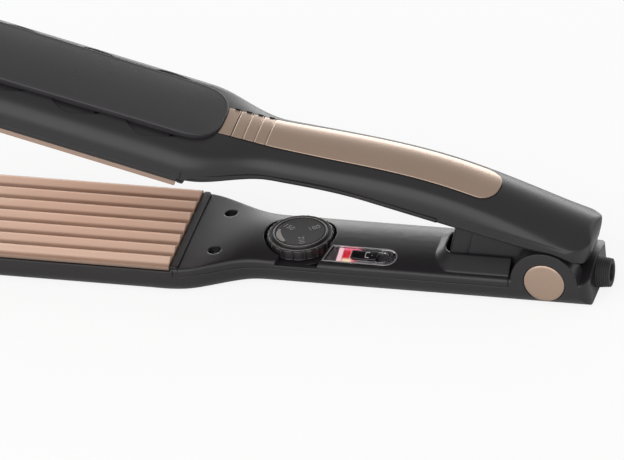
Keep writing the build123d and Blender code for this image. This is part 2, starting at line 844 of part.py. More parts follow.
# Grip inlay on the back of the handle, with its grooves
inlay_low = handle_under + 4.5
inlay_outer = arm_body(upper_arm, upper_section, upper_end, inlay_proud)
inlay_inner = arm_body(upper_arm, upper_section, upper_end, inlay_proud - inlay_thickness)
with BuildPart() as grip_inlay:
    extrude(inlay_outline(inlay_low, 0), amount=reach)
    add(inlay_outer, mode=Mode.INTERSECT)
    add(inlay_inner, mode=Mode.SUBTRACT)
    land_half = arm_body(upper_arm, upper_section, upper_end, inlay_proud - groove_depth)
    groove_x = cover_start + 5.0 + (groove_pitch - groove_width) + groove_width / 2
    with BuildSketch(level(upper_arm, inlay_low)):
        with Locations((groove_x + groove_pitch * (groove_count - 1) / 2, 0)):
            with GridLocations(groove_pitch, 1, groove_count, 1):
                Rectangle(groove_width, 2 * inlay_half_width + 2)
    bars = extrude(amount=reach, mode=Mode.PRIVATE)
    add(bars - land_half, mode=Mode.SUBTRACT)
grip_inlay.part.label = "grip_inlay"
export_step(grip_inlay.part, "parts/grip_inlay.step")

# Upper outer shell: back, sides and the neck of the hinge
inlay_seat = arm_body(upper_arm, upper_section, upper_end, inlay_proud - inlay_thickness - seam)
with BuildPart() as upper_shell:
    add(upper_envelope.part)
    add(upper_parting.part, mode=Mode.SUBTRACT)
    bay = block(upper_arm, bay_front, upper_bay_rear - wall, body_half, 0, reach)
    add(upper_cavity & bay, mode=Mode.SUBTRACT)
    # Plate seat and tub
    top_seat_z = plate_mid_z + valley_depth + plate_thickness + seam
    add(
        block(upper_arm, plate_front - seam, plate_rear + seam, body_half + 1, 0, top_seat_z),
        mode=Mode.SUBTRACT,
    )
    tub_top = plate_mid_z + upper_frame_depth + slip
    add(block(upper_arm, stack_front, cover_start, stack_half, 0, tub_top), mode=Mode.SUBTRACT)
    hollow = block(
        upper_arm, stack_front + 4, cover_start - 2, cover_half_width, 0, deck_height - deck_wall
    )
    add(hollow, mode=Mode.SUBTRACT)
    # Seat of the grip inlay
    seat = extrude(inlay_outline(inlay_low, slip / 2), amount=reach, mode=Mode.PRIVATE)
    add(seat - inlay_seat, mode=Mode.SUBTRACT)
    # Level seat of the top cover, where the back begins to rise
    extrude(cover_outline(cover_base - seam / 2, seam / 2), amount=reach, mode=Mode.SUBTRACT)
    # Scalloped recesses along the edges of the top cover
    first_scallop = cover_start - 14.0
    for count in range(scallop_count):
        with BuildSketch(level(upper_arm, deck_height - scallop_depth + 0.3)):
            for scallop_y in (cover_half_width, -cover_half_width):
                with Locations((first_scallop - scallop_pitch * count, scallop_y)):
                    Ellipse(scallop_pitch / 2 - 1, scallop_width)
        extrude(amount=reach, mode=Mode.SUBTRACT)
    # Neck and knuckle, with the room for the ears and the spring
    for relief_y in (neck_half, -handle_half - 2):
        relief = crossbar(
            upper_arm, hinge_x, hinge_height, relief_radius, relief_y,
            relief_y + handle_half + 2 - neck_half,
        )
        add(relief, mode=Mode.SUBTRACT)
    with BuildSketch(level(upper_arm, neck_base)) as neck_plan:
        with Locations(((neck_front + hinge_x) / 2, 0)):
            Rectangle(neck_reach, neck_width)
        fillet(neck_plan.vertices().group_by(Axis.X)[0], 4.0)
    extrude(amount=handle_under + 3 - neck_base)
    add(crossbar(upper_arm, hinge_x, hinge_height, neck_radius, -neck_half, neck_half))
    with BuildSketch(side(upper_arm, neck_half)):
        with Locations((hinge_x, hinge_height + 6)):
            Rectangle(2 * neck_radius, 12)
    extrude(amount=neck_width)
    coil_room = spring_width / 2 + slip
    add(
        crossbar(upper_arm, hinge_x, hinge_height, spring_radius + 0.8, -coil_room, coil_room),
        mode=Mode.SUBTRACT,
    )
    spring_room = block(
        upper_arm, hinge_x - 18, hinge_x, coil_room, 0, hinge_height + spring_radius + 0.8
    )
    add(spring_room, mode=Mode.SUBTRACT)
    add(
        crossbar(upper_arm, hinge_x, hinge_height, pin_bore, -handle_half, handle_half),
        mode=Mode.SUBTRACT,
    )
    # Screw bosses and the way for the heater leads
    with BuildSketch(level(upper_arm, upper_boss_z)):
        with Locations(*screw_points):
            Circle(boss_diameter / 2)
    towers = extrude(amount=reach, mode=Mode.PRIVATE)
    add(towers & upper_cavity)
    with BuildSketch(level(upper_arm, upper_boss_z - 1)):
        with Locations(*screw_points):
            Circle(screw_shank / 2 + pin_fit)
    extrude(amount=screw_length - 1, mode=Mode.SUBTRACT)
    with BuildSketch(across(upper_arm, bar_rear - 1)):
        with Locations((lead_y, upper_lead_z), (-lead_y, upper_lead_z)):
            SlotOverall(lead_hole * 2.2, lead_hole, rotation=90)
    extrude(amount=3 * wall, mode=Mode.SUBTRACT)
upper_shell.part.label = "upper_shell"
export_step(upper_shell.part, "parts/upper_shell.step")

# Top cover over the plate region: crowned, with a round rear end
crown_radius = (cover_half_width**2 + cover_crown**2) / (2 * cover_crown)
with BuildPart() as top_cover:
    extrude(cover_outline(cover_base, 0), amount=cover_edge + cover_crown)
    crown_z = cover_base + cover_edge + cover_crown - crown_radius
    with BuildSketch(across(upper_arm, tip_x)):
        with Locations((0, crown_z)):
            Circle(crown_radius)
    barrel = extrude(amount=plate_length + 3 * cover_half_width, mode=Mode.PRIVATE)
    add(barrel, mode=Mode.INTERSECT)
top_cover.part.label = "top_cover"
export_step(top_cover.part, "parts/top_cover.step")


def cover_screws(arm, head_z, direction):
    """The two screws of an inner cover: their heads face out of the handle's inner face."""
    with BuildPart() as screws:
        with BuildSketch(level(arm, head_z)):
            with Locations(*screw_points):
                Circle(screw_head / 2)
        extrude(amount=direction * screw_head_height)
        with BuildSketch(level(arm, head_z + direction * (screw_head_height - 0.9))):
            with Locations(*screw_points):
                Rectangle(screw_head * 0.7, 0.6)
                Rectangle(0.6, screw_head * 0.7)
        extrude(amount=direction * 0.9, mode=Mode.SUBTRACT)
        with BuildSketch(level(arm, head_z)):
            with Locations(*screw_points):
                Circle(screw_shank / 2)
        extrude(amount=-direction * (screw_length - 1.7))
    return screws.part


lower_screws = cover_screws(lower_arm, screw_seat, 1)
lower_screws.label = "lower_cover_screws"
export_step(lower_screws, "parts/lower_cover_screws.step")
upper_screws = cover_screws(upper_arm, upper_seat_z, -1)
upper_screws.label = "upper_cover_screws"
export_step(upper_screws, "parts/upper_cover_screws.step")

# Plate stacks: their plane lies between the closed plates and its z runs into the arm
lower_stack = Plane(origin=(0, 0, plate_mid_z), x_dir=(1, 0, 0), z_dir=(0, 0, -1))
upper_stack = Plane(
    origin=upper_arm.from_local_coords((0, 0, plate_mid_z)),
    x_dir=upper_arm.x_dir,
    z_dir=upper_arm.z_dir,
)
plate_back = valley_depth + plate_thickness
lower_frame_depth = plate_mid_z - wall - slip
plate_mid_x = (plate_front + plate_rear) / 2


def ridged_plate(stack, shift):
    """Heating plate with ridges along the arm; shift swaps ridges and valleys."""
    crest_depth = valley_depth - ridge_height
    half = plate_width / 2
    points = [(-half, plate_back)]
    for step in range(2 * ridge_count + 1):
        y = -half + step * ridge_pitch / 2
        depth = crest_depth if (step + shift) % 2 else valley_depth
        if step > 0:
            points.append((y - ridge_land / 2, depth))
        if step < 2 * ridge_count:
            points.append((y + ridge_land / 2, depth))
        if step in (0, 2 * ridge_count):
            points.insert(len(points) - (step == 0), (y, depth))
    points.append((half, plate_back))
    with BuildPart() as plate:
        with BuildSketch(across(stack, plate_front)):
            with BuildLine():
                Polyline(*points, close=True)
            make_face()
        extrude(amount=plate_length)
    return plate.part


def plate_frame(stack, depth):
    """Heat-proof tray behind the plate, with a bar at each end of the plate."""
    half = frame_width / 2
    top = plate_back + seam / 2
    with BuildPart() as frame:
        add(block(stack, plate_front - end_bar, bar_rear, half, plate_mid_z - rim_z, depth))
        long_edges = frame.edges().filter_by(Axis(stack.origin, stack.x_dir))
        back_edges = long_edges.sort_by(Axis(stack.origin, stack.z_dir))[-2:]
        chamfer(back_edges, frame_chamfer)
        add(block(stack, plate_front - seam, plate_rear + seam, half + 1, 0, top), mode=Mode.SUBTRACT)
        add(
            block(stack, plate_front + 1, plate_rear - 1, half - frame_wall, 0, depth - frame_floor),
            mode=Mode.SUBTRACT,
        )
        rib_depth = top + heater_thickness + 2 * clip_thickness + 0.2
        for rib_x in (-plate_length / 4, 0, plate_length / 4):
            rib_mid = plate_mid_x + rib_x
            add(block(stack, rib_mid - 0.8, rib_mid + 0.8, heater_width / 2, rib_depth, depth))
        with BuildSketch(across(stack, plate_rear - 2)):
            with Locations((lead_y, lead_depth), (-lead_y, lead_depth)):
                Circle(lead_hole / 2)
        extrude(amount=end_bar + 4, mode=Mode.SUBTRACT)
    return frame.part


def heater_bar(stack):
    """Flat heater pressed on the back of the plate."""
    top = plate_back + seam
    half = heater_length / 2
    return block(
        stack, plate_mid_x - half, plate_mid_x + half, heater_width / 2, top, top + heater_thickness
    )


def heater_channel(stack):
    """Spring steel channel that holds the heater to the plate."""
    top = plate_back + seam
    back = top + heater_thickness + 0.1
    inner = heater_width / 2 + 0.1
    half = heater_length / 2 - 3
    with BuildPart() as channel:
        add(
            block(
                stack, plate_mid_x - half, plate_mid_x + half, inner + clip_thickness, top,
                back + clip_thickness,
            )
        )
        inside = block(stack, plate_mid_x - half - 1, plate_mid_x + half + 1, inner, 0, back)
        add(inside, mode=Mode.SUBTRACT)
    return channel.part


def heat_sensor(stack):
    """Small cylinder against the back of the plate, beside the heater."""
    with BuildPart() as sensor:
        with BuildSketch(across(stack, plate_mid_x - sensor_length / 2)):
            with Locations((heater_width / 2 + 5, plate_back + seam + sensor_diameter / 2)):
                Circle(sensor_diameter / 2)
        extrude(amount=sensor_length)
    return sensor.part


def heater_leads(arm, points):
    """Two sleeved wires that follow a route along the arm."""
    with BuildPart() as wires:
        for wire_y in (lead_y, -lead_y):
            with BuildLine(side(arm, wire_y)) as route:
                if len(points) > 2:
                    FilletPolyline(*points, radius=8.0)
                else:
                    Line(*points)
            with BuildSketch(Plane(origin=route.line @ 0, z_dir=route.line % 0)):
                Circle(lead_diameter / 2)
            sweep(path=route.line)
    return wires.part


stack_pieces = {
    "lower": (lower_stack, 0, lower_frame_depth, "thermistor"),
    "upper": (upper_stack, 1, upper_frame_depth, "thermal_fuse"),
}
for arm_name, (stack, shift, depth, sensor_name) in stack_pieces.items():
    pieces = {
        arm_name + "_plate": ridged_plate(stack, shift),
        arm_name + "_plate_frame": plate_frame(stack, depth),
        arm_name + "_heater": heater_bar(stack),
        arm_name + "_heater_clip": heater_channel(stack),
        sensor_name: heat_sensor(stack),
    }
    for piece_name, piece in pieces.items():
        piece.label = piece_name
        export_step(piece, "parts/" + piece_name + ".step")

# Heater leads of both arms
heater_rear = plate_mid_x + heater_length / 2 + slip
lower_wires = heater_leads(
    lower_arm, [(heater_rear, lower_lead_z), (board_x - board_length / 2 + 4, lower_lead_z)]
)
lower_wires.label = "lower_heater_leads"
export_step(lower_wires, "parts/lower_heater_leads.step")
upper_wires = heater_leads(
    upper_arm,
    [
        (heater_rear, upper_lead_z),
        (bar_rear + 4, upper_lead_z),
        (bar_rear + 22, upper_run_z),
        (upper_bay_rear - wall - slip, upper_run_z),
    ],
)
upper_wires.label = "upper_heater_leads"
export_step(upper_wires, "parts/upper_heater_leads.step")
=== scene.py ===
"""Looks of the hinged hair crimper: finishes, fine pieces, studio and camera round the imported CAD.

Lengths inside the classes are in millimetres, in the frame of the CAD model with the arms closed.
They become metres, and the upper arm is turned open, where a mesh is made.
"""

import logging
import math
from dataclasses import dataclass, field
from enum import Enum

import bmesh
import bpy
import numpy as np
from mathutils import Matrix, Vector


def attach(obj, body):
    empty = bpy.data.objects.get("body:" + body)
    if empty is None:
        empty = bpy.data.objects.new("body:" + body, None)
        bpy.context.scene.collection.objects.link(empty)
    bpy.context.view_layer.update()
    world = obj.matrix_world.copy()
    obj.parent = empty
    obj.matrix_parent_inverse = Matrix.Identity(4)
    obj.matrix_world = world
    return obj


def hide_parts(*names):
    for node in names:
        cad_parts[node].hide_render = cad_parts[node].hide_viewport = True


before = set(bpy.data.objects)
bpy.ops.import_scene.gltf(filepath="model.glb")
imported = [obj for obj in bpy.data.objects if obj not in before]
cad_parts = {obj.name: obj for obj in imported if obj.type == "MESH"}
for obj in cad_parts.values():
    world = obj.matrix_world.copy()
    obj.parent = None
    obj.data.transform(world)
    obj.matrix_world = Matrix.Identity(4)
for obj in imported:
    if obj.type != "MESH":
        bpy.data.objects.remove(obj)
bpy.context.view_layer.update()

MM = 0.001
UP = (0.0, 0.0, 1.0)
EVEN = (1.0, 1.0, 1.0)
WHITE = (1.0, 1.0, 1.0, 1.0)
Array = np.ndarray
Piece = bpy.types.Object
Inputs = dict[int | str, object]
Pair = tuple[float, float]
Triple = tuple[float, float, float]
log = logging.getLogger("straightener")


def srgb(red: int, green: int, blue: int) -> tuple[float, float, float, float]:
    """Linear colour with alpha 1 from 8-bit screen values.

    Args:
        red, green, blue: Channel values from 0 to 255.

    Returns:
        The four channels that a colour socket takes.
    """
    channels = np.array([red, green, blue]) / 255.0
    linear = np.where(channels <= 0.04045, channels / 12.92, ((channels + 0.055) / 1.055) ** 2.4)
    return (*(float(c) for c in linear), 1.0)


def ease(start: float, end: float, x: Array, x0: float, x1: float) -> Array:
    """Smooth change along x: start before x0, end after x1, with the cubic 3t^2 - 2t^3 between."""
    t = np.clip((x - x0) / (x1 - x0), 0.0, 1.0)
    return start + (end - start) * t * t * (3 - 2 * t)


def joined(*coordinates: Array | float) -> Array:
    """Points from their coordinates, spread to one shape."""
    return np.stack(np.broadcast_arrays(*coordinates), axis=-1)


class Arm(Enum):
    """The two arms, by the angle that each is turned about the hinge at rest."""

    LOWER = 0.0
    UPPER = 15.0


class Body(Enum):
    """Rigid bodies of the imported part."""

    LOWER = "lower_arm"
    UPPER = "upper_arm"
    DIAL = "dial"
    BUTTON = "button"


class Slot(Enum):
    """Material slots of the record."""

    BLACK = "black_plastic"
    COVER = "satin_cover"
    GLOSS = "gloss_black"
    DIAL = "dial_plastic"
    FRAME = "frame_plastic"
    PLATE = "plate_coating"
    CHAMPAGNE = "champagne"
    CLEAR = "clear_window"
    RED = "red_lens"
    CERAMIC = "heater_ceramic"
    SPRING = "spring_steel"
    SCREW = "screw_steel"
    SLEEVE = "lead_sleeve"
    BOARD = "board"
    COMPONENT = "component_plastic"
    RUBBER = "gland_rubber"


# Shader graph


class Signal:
    """Output socket of a shader node, with the arithmetic that the finishes use."""

    def __init__(self, graph: "Graph", socket: bpy.types.NodeSocket) -> None:
        """Keeps the graph that makes the next node and the socket it starts from."""
        self.graph = graph
        self.socket = socket

    def _math(self, operation: str, first: object, second: object) -> "Signal":
        """Math node on two values."""
        return self.graph.node("ShaderNodeMath", {"operation": operation}, {0: first, 1: second})

    def __add__(self, other: object) -> "Signal":
        """Sum."""
        return self._math("ADD", self, other)

    def __sub__(self, other: object) -> "Signal":
        """Difference."""
        return self._math("SUBTRACT", self, other)

    def __rsub__(self, other: object) -> "Signal":
        """Number less this value."""
        return self._math("SUBTRACT", other, self)

    def __mul__(self, other: object) -> "Signal":
        """Product."""
        return self._math("MULTIPLY", self, other)

    __radd__ = __add__
    __rmul__ = __mul__

    def larger(self, other: object) -> "Signal":
        """Larger of two values."""
        return self._math("MAXIMUM", self, other)

    def sibling(self, output: int | str) -> "Signal":
        """Another output of the same node."""
        return Signal(self.graph, self.socket.node.outputs[output])

    def above(self, limit: float, width: float) -> "Signal":
        """Soft step from 0 to 1 over a width about a limit."""
        settings = {"interpolation_type": "SMOOTHSTEP"}
        inputs = {"Value": self, "From Min": limit - width / 2, "From Max": limit + width / 2}
        return self.graph.node("ShaderNodeMapRange", settings, inputs)

    def between(self, low: float, high: float, width: float) -> "Signal":
        """Soft band: 1 between two limits and 0 outside."""
        return self.above(low, width) * (1.0 - self.above(high, width))


class Graph:
    """Node tree of one material, or of the world."""

    def __init__(self, name: str, world: bool = False) -> None:
        """Makes the owner of the tree and keeps the shader and the output that come with it.

        Args:
            name: Name of the material or world.
            world: Makes a world in place of a material.
        """
        owners = bpy.data.worlds if world else bpy.data.materials
        self.owner = owners.new(name)
        self.owner.use_nodes = True
        self.tree = self.owner.node_tree
        self.shader = self.tree.nodes["Background" if world else "Principled BSDF"]
        self.output = self.tree.nodes["World Output" if world else "Material Output"]

    def node(
        self, kind: str, settings: dict[str, object], inputs: Inputs, output: int | str = 0
    ) -> Signal:
        """Makes any node.

        Args:
            kind: Node type.
            settings: Attributes of the node, set first.
            inputs: Value or link of each named or numbered socket.
            output: Socket that the returned signal reads.

        Returns:
            The chosen output.
        """
        made = self.tree.nodes.new(kind)
        for key, value in settings.items():
            setattr(made, key, value)
        for key, value in inputs.items():
            self.feed(made.inputs[key], value)
        return Signal(self, made.outputs[output])

    def feed(self, socket: bpy.types.NodeSocket, value: object) -> None:
        """Links a signal to a socket, or sets the socket's own value."""
        if isinstance(value, Signal):
            self.tree.links.new(value.socket, socket)
        else:
            socket.default_value = value

    def set(self, **values: object) -> None:
        """Feeds sockets of the tree's own shader, named with underscores for spaces."""
        for key, value in values.items():
            self.feed(self.shader.inputs[key.replace("_", " ")], value)

    def place(self, scale: Triple = EVEN) -> Signal:
        """Object coordinates, stretched along the axes."""
        coords = self.node("ShaderNodeTexCoord", {}, {}, "Object")
        return self.node("ShaderNodeMapping", {}, {"Vector": coords, "Scale": scale})

    def noise(self, size: float, detail: float = 2.0, stretch: Triple = EVEN) -> Signal:
        """Noise from 0 to 1.

        Args:
            size: Size of its features in millimetres.
            detail: Number of finer layers.
            stretch: Scale along each axis; the features are longer where it is small.

        Returns:
            The noise's value.
        """
        inputs = {"Vector": self.place(stretch), "Scale": 1.0 / (size * MM), "Detail": detail}
        return self.node("ShaderNodeTexNoise", {}, inputs)

    def cells(self, size: float, feature: str = "F1") -> Signal:
        """Distance in a pattern of cells with a size in millimetres."""
        inputs = {"Vector": self.place(), "Scale": 1.0 / (size * MM)}
        return self.node("ShaderNodeTexVoronoi", {"feature": feature}, inputs, "Distance")

    def mix(self, factor: object, first: object, second: object) -> Signal:
        """Colour between two colours."""
        inputs = {0: factor, 6: first, 7: second}
        return self.node("ShaderNodeMix", {"data_type": "RGBA"}, inputs, 2)

    def rounded(self, radius: float) -> Signal:
        """Normal that rounds sharp edges by a radius in millimetres."""
        return self.node("ShaderNodeBevel", {"samples": 6}, {"Radius": radius * MM})

    def edges(self, radius: float) -> Signal:
        """Mask of the sharp edges: how far the rounded normal turns from the surface's own."""
        own = self.node("ShaderNodeNewGeometry", {}, {}, "Normal")
        inputs = {0: self.rounded(radius), 1: own}
        dot = self.node("ShaderNodeVectorMath", {"operation": "DOT_PRODUCT"}, inputs, "Value")
        return (1.0 - dot).above(0.12, 0.2)

    def bump(self, height: Signal, depth: float, normal: object = None) -> Signal:
        """Normal raised by a height signal, by a depth in millimetres."""
        inputs: Inputs = {"Strength": 1.0, "Distance": depth * MM, "Height": height}
        if normal is not None:
            inputs["Normal"] = normal
        return self.node("ShaderNodeBump", {}, inputs, "Normal")


def shade(colour: tuple, factor: float) -> tuple[float, float, float, float]:
    """Darker or lighter version of a linear colour."""
    return (*(min(1.0, c * factor) for c in colour[:3]), 1.0)


@dataclass(frozen=True)
class Finish:
    """Finish of a surface, from which one material is made."""

    name: str

    def material(self) -> bpy.types.Material:
        """Builds the material."""
        g = Graph(self.name)
        self.paint(g)
        return g.owner

    def paint(self, g: Graph) -> None:
        """Feeds the shader's sockets, in each finish's own way."""
        raise NotImplementedError


@dataclass(frozen=True)
class MouldedPlastic(Finish):
    """Moulded plastic: fine spark-eroded grain, slow mottling and a painted highlight along its
    sharp edges.
    """

    colour: tuple
    roughness: float = 0.4
    grain: float = 0.35
    grain_depth: float = 0.012
    mottling: float = 0.12
    edge_radius: float = 0.35
    edge_highlight: float = 1.5
    soften: float = 0.0

    def paint(self, g: Graph) -> None:
        """Feeds the shader's sockets."""
        slow = g.noise(24.0, 3.0)
        fine = g.noise(self.grain, 2.0)
        low, high = shade(self.colour, 1 - self.mottling), shade(self.colour, 1 + self.mottling)
        body = g.mix(slow * 0.7 + fine * 0.3, low, high)
        # Painted highlight: the colour is lighter along the sharp edges.
        edge = g.edges(self.edge_radius)
        g.set(
            Base_Color=g.mix(edge * 0.55, body, shade(self.colour, self.edge_highlight)),
            Roughness=self.roughness + (slow - 0.5) * 0.1 + (fine - 0.5) * 0.12 - edge * 0.08,
            Normal=g.bump(fine, self.grain_depth, g.rounded(max(self.edge_radius, self.soften))),
            IOR=1.47,
        )


@dataclass(frozen=True)
class PlateCoating(Finish):
    """Rose-gold ceramic coating: satin, rubbed along the plate, with painted shade down in its
    valleys and on its sides and a painted highlight along its crests.

    The mesh's attribute "relief" is 0 at the valleys, 1 at the crests and -1 on the plate's sides.
    """

    colour: tuple
    tarnish: tuple
    # Painted shade for the valley bottoms.
    valley_shade: tuple
    # Painted shade for the plate's sides.
    side: tuple

    def paint(self, g: Graph) -> None:
        """Feeds the shader's sockets."""
        streak = g.noise(0.5, 3.0, (0.02, 1.0, 1.0))
        flecks = g.noise(0.18, 1.0)
        cloud = g.noise(14.0, 3.0)
        relief = g.node("ShaderNodeAttribute", {"attribute_name": "relief"}, {}, "Fac")
        body = g.mix(streak * 0.6 + cloud * 0.4, self.tarnish, self.colour)
        # Painted highlight: the colour is lighter along the crests.
        crest_highlight = g.mix(relief.above(0.93, 0.1) * 0.7, body, shade(self.colour, 1.3))
        # Painted shade: the colour darkens towards the valley bottoms, where shade falls.
        low = (1.0 - relief.above(0.3, 0.3)) * (0.8 + cloud * 0.3)
        ridged = g.mix(low, crest_highlight, self.valley_shade)
        # Painted shade: the plate's sides take a darker colour.
        with_shaded_sides = g.mix(relief.above(-0.5, 0.2), self.side, ridged)
        g.set(
            Base_Color=g.mix(flecks.above(0.66, 0.08) * 0.3, with_shaded_sides, self.colour),
            Metallic=0.25,
            Roughness=0.36 + streak * 0.12 + (cloud - 0.5) * 0.08,
            Normal=g.bump(streak, 0.006, g.rounded(0.25)),
        )


@dataclass(frozen=True)
class Champagne(Finish):
    """Champagne metallic lacquer with flakes under a thin clear coat."""

    colour: tuple
    roughness: float = 0.3

    def paint(self, g: Graph) -> None:
        """Feeds the shader's sockets."""
        flakes = g.cells(0.12)
        streak = g.noise(0.9, 2.0, (0.03, 1.0, 1.0))
        cloud = g.noise(20.0, 2.0)
        body = g.mix(streak * 0.5 + cloud * 0.5, shade(self.colour, 0.9), shade(self.colour, 1.08))
        g.set(
            Base_Color=g.mix(flakes.above(0.3, 0.4) * 0.25, body, shade(self.colour, 1.3)),
            Metallic=0.85,
            Roughness=self.roughness + (flakes - 0.3) * 0.1 + (cloud - 0.5) * 0.08,
            Coat_Weight=0.25,
            Coat_Roughness=0.12,
            Normal=g.bump(flakes, 0.002, g.rounded(0.3)),
        )


@dataclass(frozen=True)
class ClearPlastic(Finish):
    """Clear plastic with hairline scratches."""

    tint: tuple

    def paint(self, g: Graph) -> None:
        """Feeds the shader's sockets."""
        hairline = g.noise(0.3, 2.0, (0.05, 1.0, 1.0))
        g.set(
            Base_Color=g.mix(hairline * 0.3, self.tint, (0.9, 0.9, 0.92, 1.0)),
            Roughness=0.02 + hairline * 0.03,
            Transmission_Weight=1.0,
            IOR=1.49,
            Normal=g.bump(hairline, 0.001),
        )


@dataclass(frozen=True)
class Steel(Finish):
    """Bare or plated steel with drawn streaks and small stains."""

    colour: tuple
    roughness: float = 0.32

    def paint(self, g: Graph) -> None:
        """Feeds the shader's sockets."""
        drawn = g.noise(0.25, 3.0, (0.1, 1.0, 1.0))
        stain = g.noise(3.0, 3.0)
        g.set(
            Base_Color=g.mix(stain * 0.6 + drawn * 0.4, shade(self.colour, 0.75), self.colour),
            Metallic=1.0,
            Roughness=self.roughness + drawn * 0.15 + (stain - 0.5) * 0.1,
            Normal=g.bump(drawn, 0.004, g.rounded(0.15)),
        )


@dataclass(frozen=True)
class PowderSurface(Finish):
    """Unglazed, fibrous or rubbery surface: two tones in a grain, fully matte."""

    light: tuple
    dark: tuple
    grain: float
    depth: float
    roughness: float = 0.8

    def paint(self, g: Graph) -> None:
        """Feeds the shader's sockets."""
        grain = g.noise(self.grain, 4.0)
        patch = g.noise(self.grain * 12, 2.0)
        g.set(
            Base_Color=g.mix(grain * 0.7 + patch * 0.3, self.dark, self.light),
            Roughness=self.roughness + (grain - 0.5) * 0.2,
            Normal=g.bump(grain, self.depth, g.rounded(0.15)),
        )


@dataclass(frozen=True)
class WovenSleeve(Finish):
    """Glass-fibre sleeve: two crossing sets of threads."""

    light: tuple
    dark: tuple

    def paint(self, g: Graph) -> None:
        """Feeds the shader's sockets."""
        waves = []
        for lean in (0.8, -0.8):
            turned = g.node(
                "ShaderNodeMapping", {}, {"Vector": g.place(), "Rotation": (0.0, lean, lean)}
            )
            inputs = {"Vector": turned, "Scale": 1.0 / (2.2 * MM), "Distortion": 0.4}
            waves.append(g.node("ShaderNodeTexWave", {}, inputs, "Fac"))
        weave = waves[0] * waves[1]
        g.set(
            Base_Color=g.mix(weave, self.dark, self.light),
            Roughness=0.85 - weave * 0.15,
            Normal=g.bump(weave, 0.05),
        )


@dataclass(frozen=True)
class SolderMask(Finish):
    """Circuit board: green mask over straight copper tracks."""

    mask: tuple
    track: tuple

    def paint(self, g: Graph) -> None:
        """Feeds the shader's sockets."""
        inputs = {"Vector": g.place((0.35, 1.0, 0.0)), "Scale": 1.0 / (1.6 * MM)}
        inputs |= {"Row Height": 1.0, "Brick Width": 3.0, "Mortar Size": 0.12, "Mortar": (1,) * 4}
        inputs |= {"Color1": (0, 0, 0, 1), "Color2": (0, 0, 0, 1)}
        tracks = g.node("ShaderNodeTexBrick", {}, inputs, "Fac")
        haze = g.noise(6.0, 2.0)
        g.set(
            Base_Color=g.mix(tracks, shade(self.mask, 0.9), g.mix(haze, self.mask, self.track)),
            Roughness=0.35 + haze * 0.15,
            Normal=g.bump(tracks, 0.03, g.rounded(0.15)),
        )


@dataclass(frozen=True)
class RedLens(Finish):
    """Red diffused lens of the light, lit from inside."""

    colour: tuple
    strength: float

    def paint(self, g: Graph) -> None:
        """Feeds the shader's sockets."""
        cloud = g.noise(1.2, 2.0)
        facing = g.node("ShaderNodeLayerWeight", {}, {"Blend": 0.4}, "Facing")
        g.set(
            Base_Color=g.mix(cloud, shade(self.colour, 0.7), self.colour),
            Roughness=0.2 + cloud * 0.1,
            Emission_Color=g.mix(facing, (1.0, 0.25, 0.2, 1.0), self.colour),
            Emission_Strength=self.strength,
            Normal=g.bump(cloud, 0.01),
        )


@dataclass(frozen=True)
class GlowTray(Finish):
    """Tray under the window: dark plastic, with a lit frame and a red glow round the light.

    The piece's UV map holds its plan: u and v are shares of the length and width. A band is given
    in millimetres from the tray's front end, or across it from its near side.
    """

    colour: tuple
    length: float
    width: float
    strength: float = 1.0
    panel: Pair = (0.0, 4.6)
    bar: Pair = (4.7, 6.4)
    haze: Pair = (5.2, 11.6)
    block: Pair = (6.9, 9.2)
    block_across: Pair = (3.5, 6.3)
    side: Pair = (9.25, 9.75)
    side_across: Pair = (2.9, 6.5)
    foot: Pair = (6.6, 10.2)
    foot_top: float = 2.9
    ends: Pair = (5.6, 12.6)
    ends_across: Pair = (1.3, 6.9)
    strips: Pair = (11.5, 23.0)
    near_strip: Pair = (0.9, 1.25)
    far_strip: Pair = (6.7, 7.05)
    facets_from: float = 22.0
    facet: float = 1.5

    def glow(self, g: Graph, x: Signal, y: Signal) -> Signal:
        """Lays the lit bands over each other.

        Args:
            g: Graph of the material.
            x, y: Place along and across the tray, in millimetres.

        Returns:
            The colour of the light.
        """
        near, far = self.ends_across
        rims = y.above(far, 0.8) + (1.0 - y.above(near, 1.0))
        bands = (
            (x.between(*self.haze, 1.8) * 0.85, srgb(214, 36, 72)),
            (x.between(*self.ends, 3.0) * rims * 0.85, srgb(255, 112, 140)),
            (x.between(*self.block, 0.5) * y.between(*self.block_across, 0.7), srgb(205, 12, 34)),
            (x.between(*self.bar, 0.5) * 0.9, srgb(255, 214, 222)),
            (
                x.between(*self.side, 0.35) * y.between(*self.side_across, 0.8) * 0.9,
                srgb(255, 232, 232),
            ),
            (x.between(*self.foot, 1.8) * (1.0 - y.above(self.foot_top, 1.6)), srgb(255, 222, 186)),
        )
        lit = g.mix(x.between(*self.panel, 0.6) * 0.06, (0, 0, 0, 1), srgb(190, 170, 172))
        for mask, colour in bands:
            lit = g.mix(mask, lit, colour)
        return lit

    def paint(self, g: Graph) -> None:
        """Feeds the shader's sockets."""
        plan = g.node("ShaderNodeUVMap", {"uv_map": "plan"}, {})
        along = g.node("ShaderNodeSeparateXYZ", {}, {0: plan}, "X")
        x, y = along * self.length, along.sibling("Y") * self.width
        facets = g.cells(self.facet, "DISTANCE_TO_EDGE")
        rear = x.above(self.facets_from, 0.6)
        sides = y.between(*self.near_strip, 0.15) + y.between(*self.far_strip, 0.15)
        lines = (1.0 - facets.above(0.05, 0.06)) * rear + x.between(*self.strips, 0.6) * sides
        fine = g.noise(0.3, 2.0)
        body = g.mix(fine, shade(self.colour, 0.8), self.colour)
        g.set(
            Base_Color=g.mix(lines * 0.6, body, srgb(150, 147, 150)),
            Roughness=0.3 + fine * 0.15,
            Emission_Color=self.glow(g, x, y),
            Emission_Strength=self.strength,
            Normal=g.bump(facets * rear + fine * 0.1, 0.1),
        )


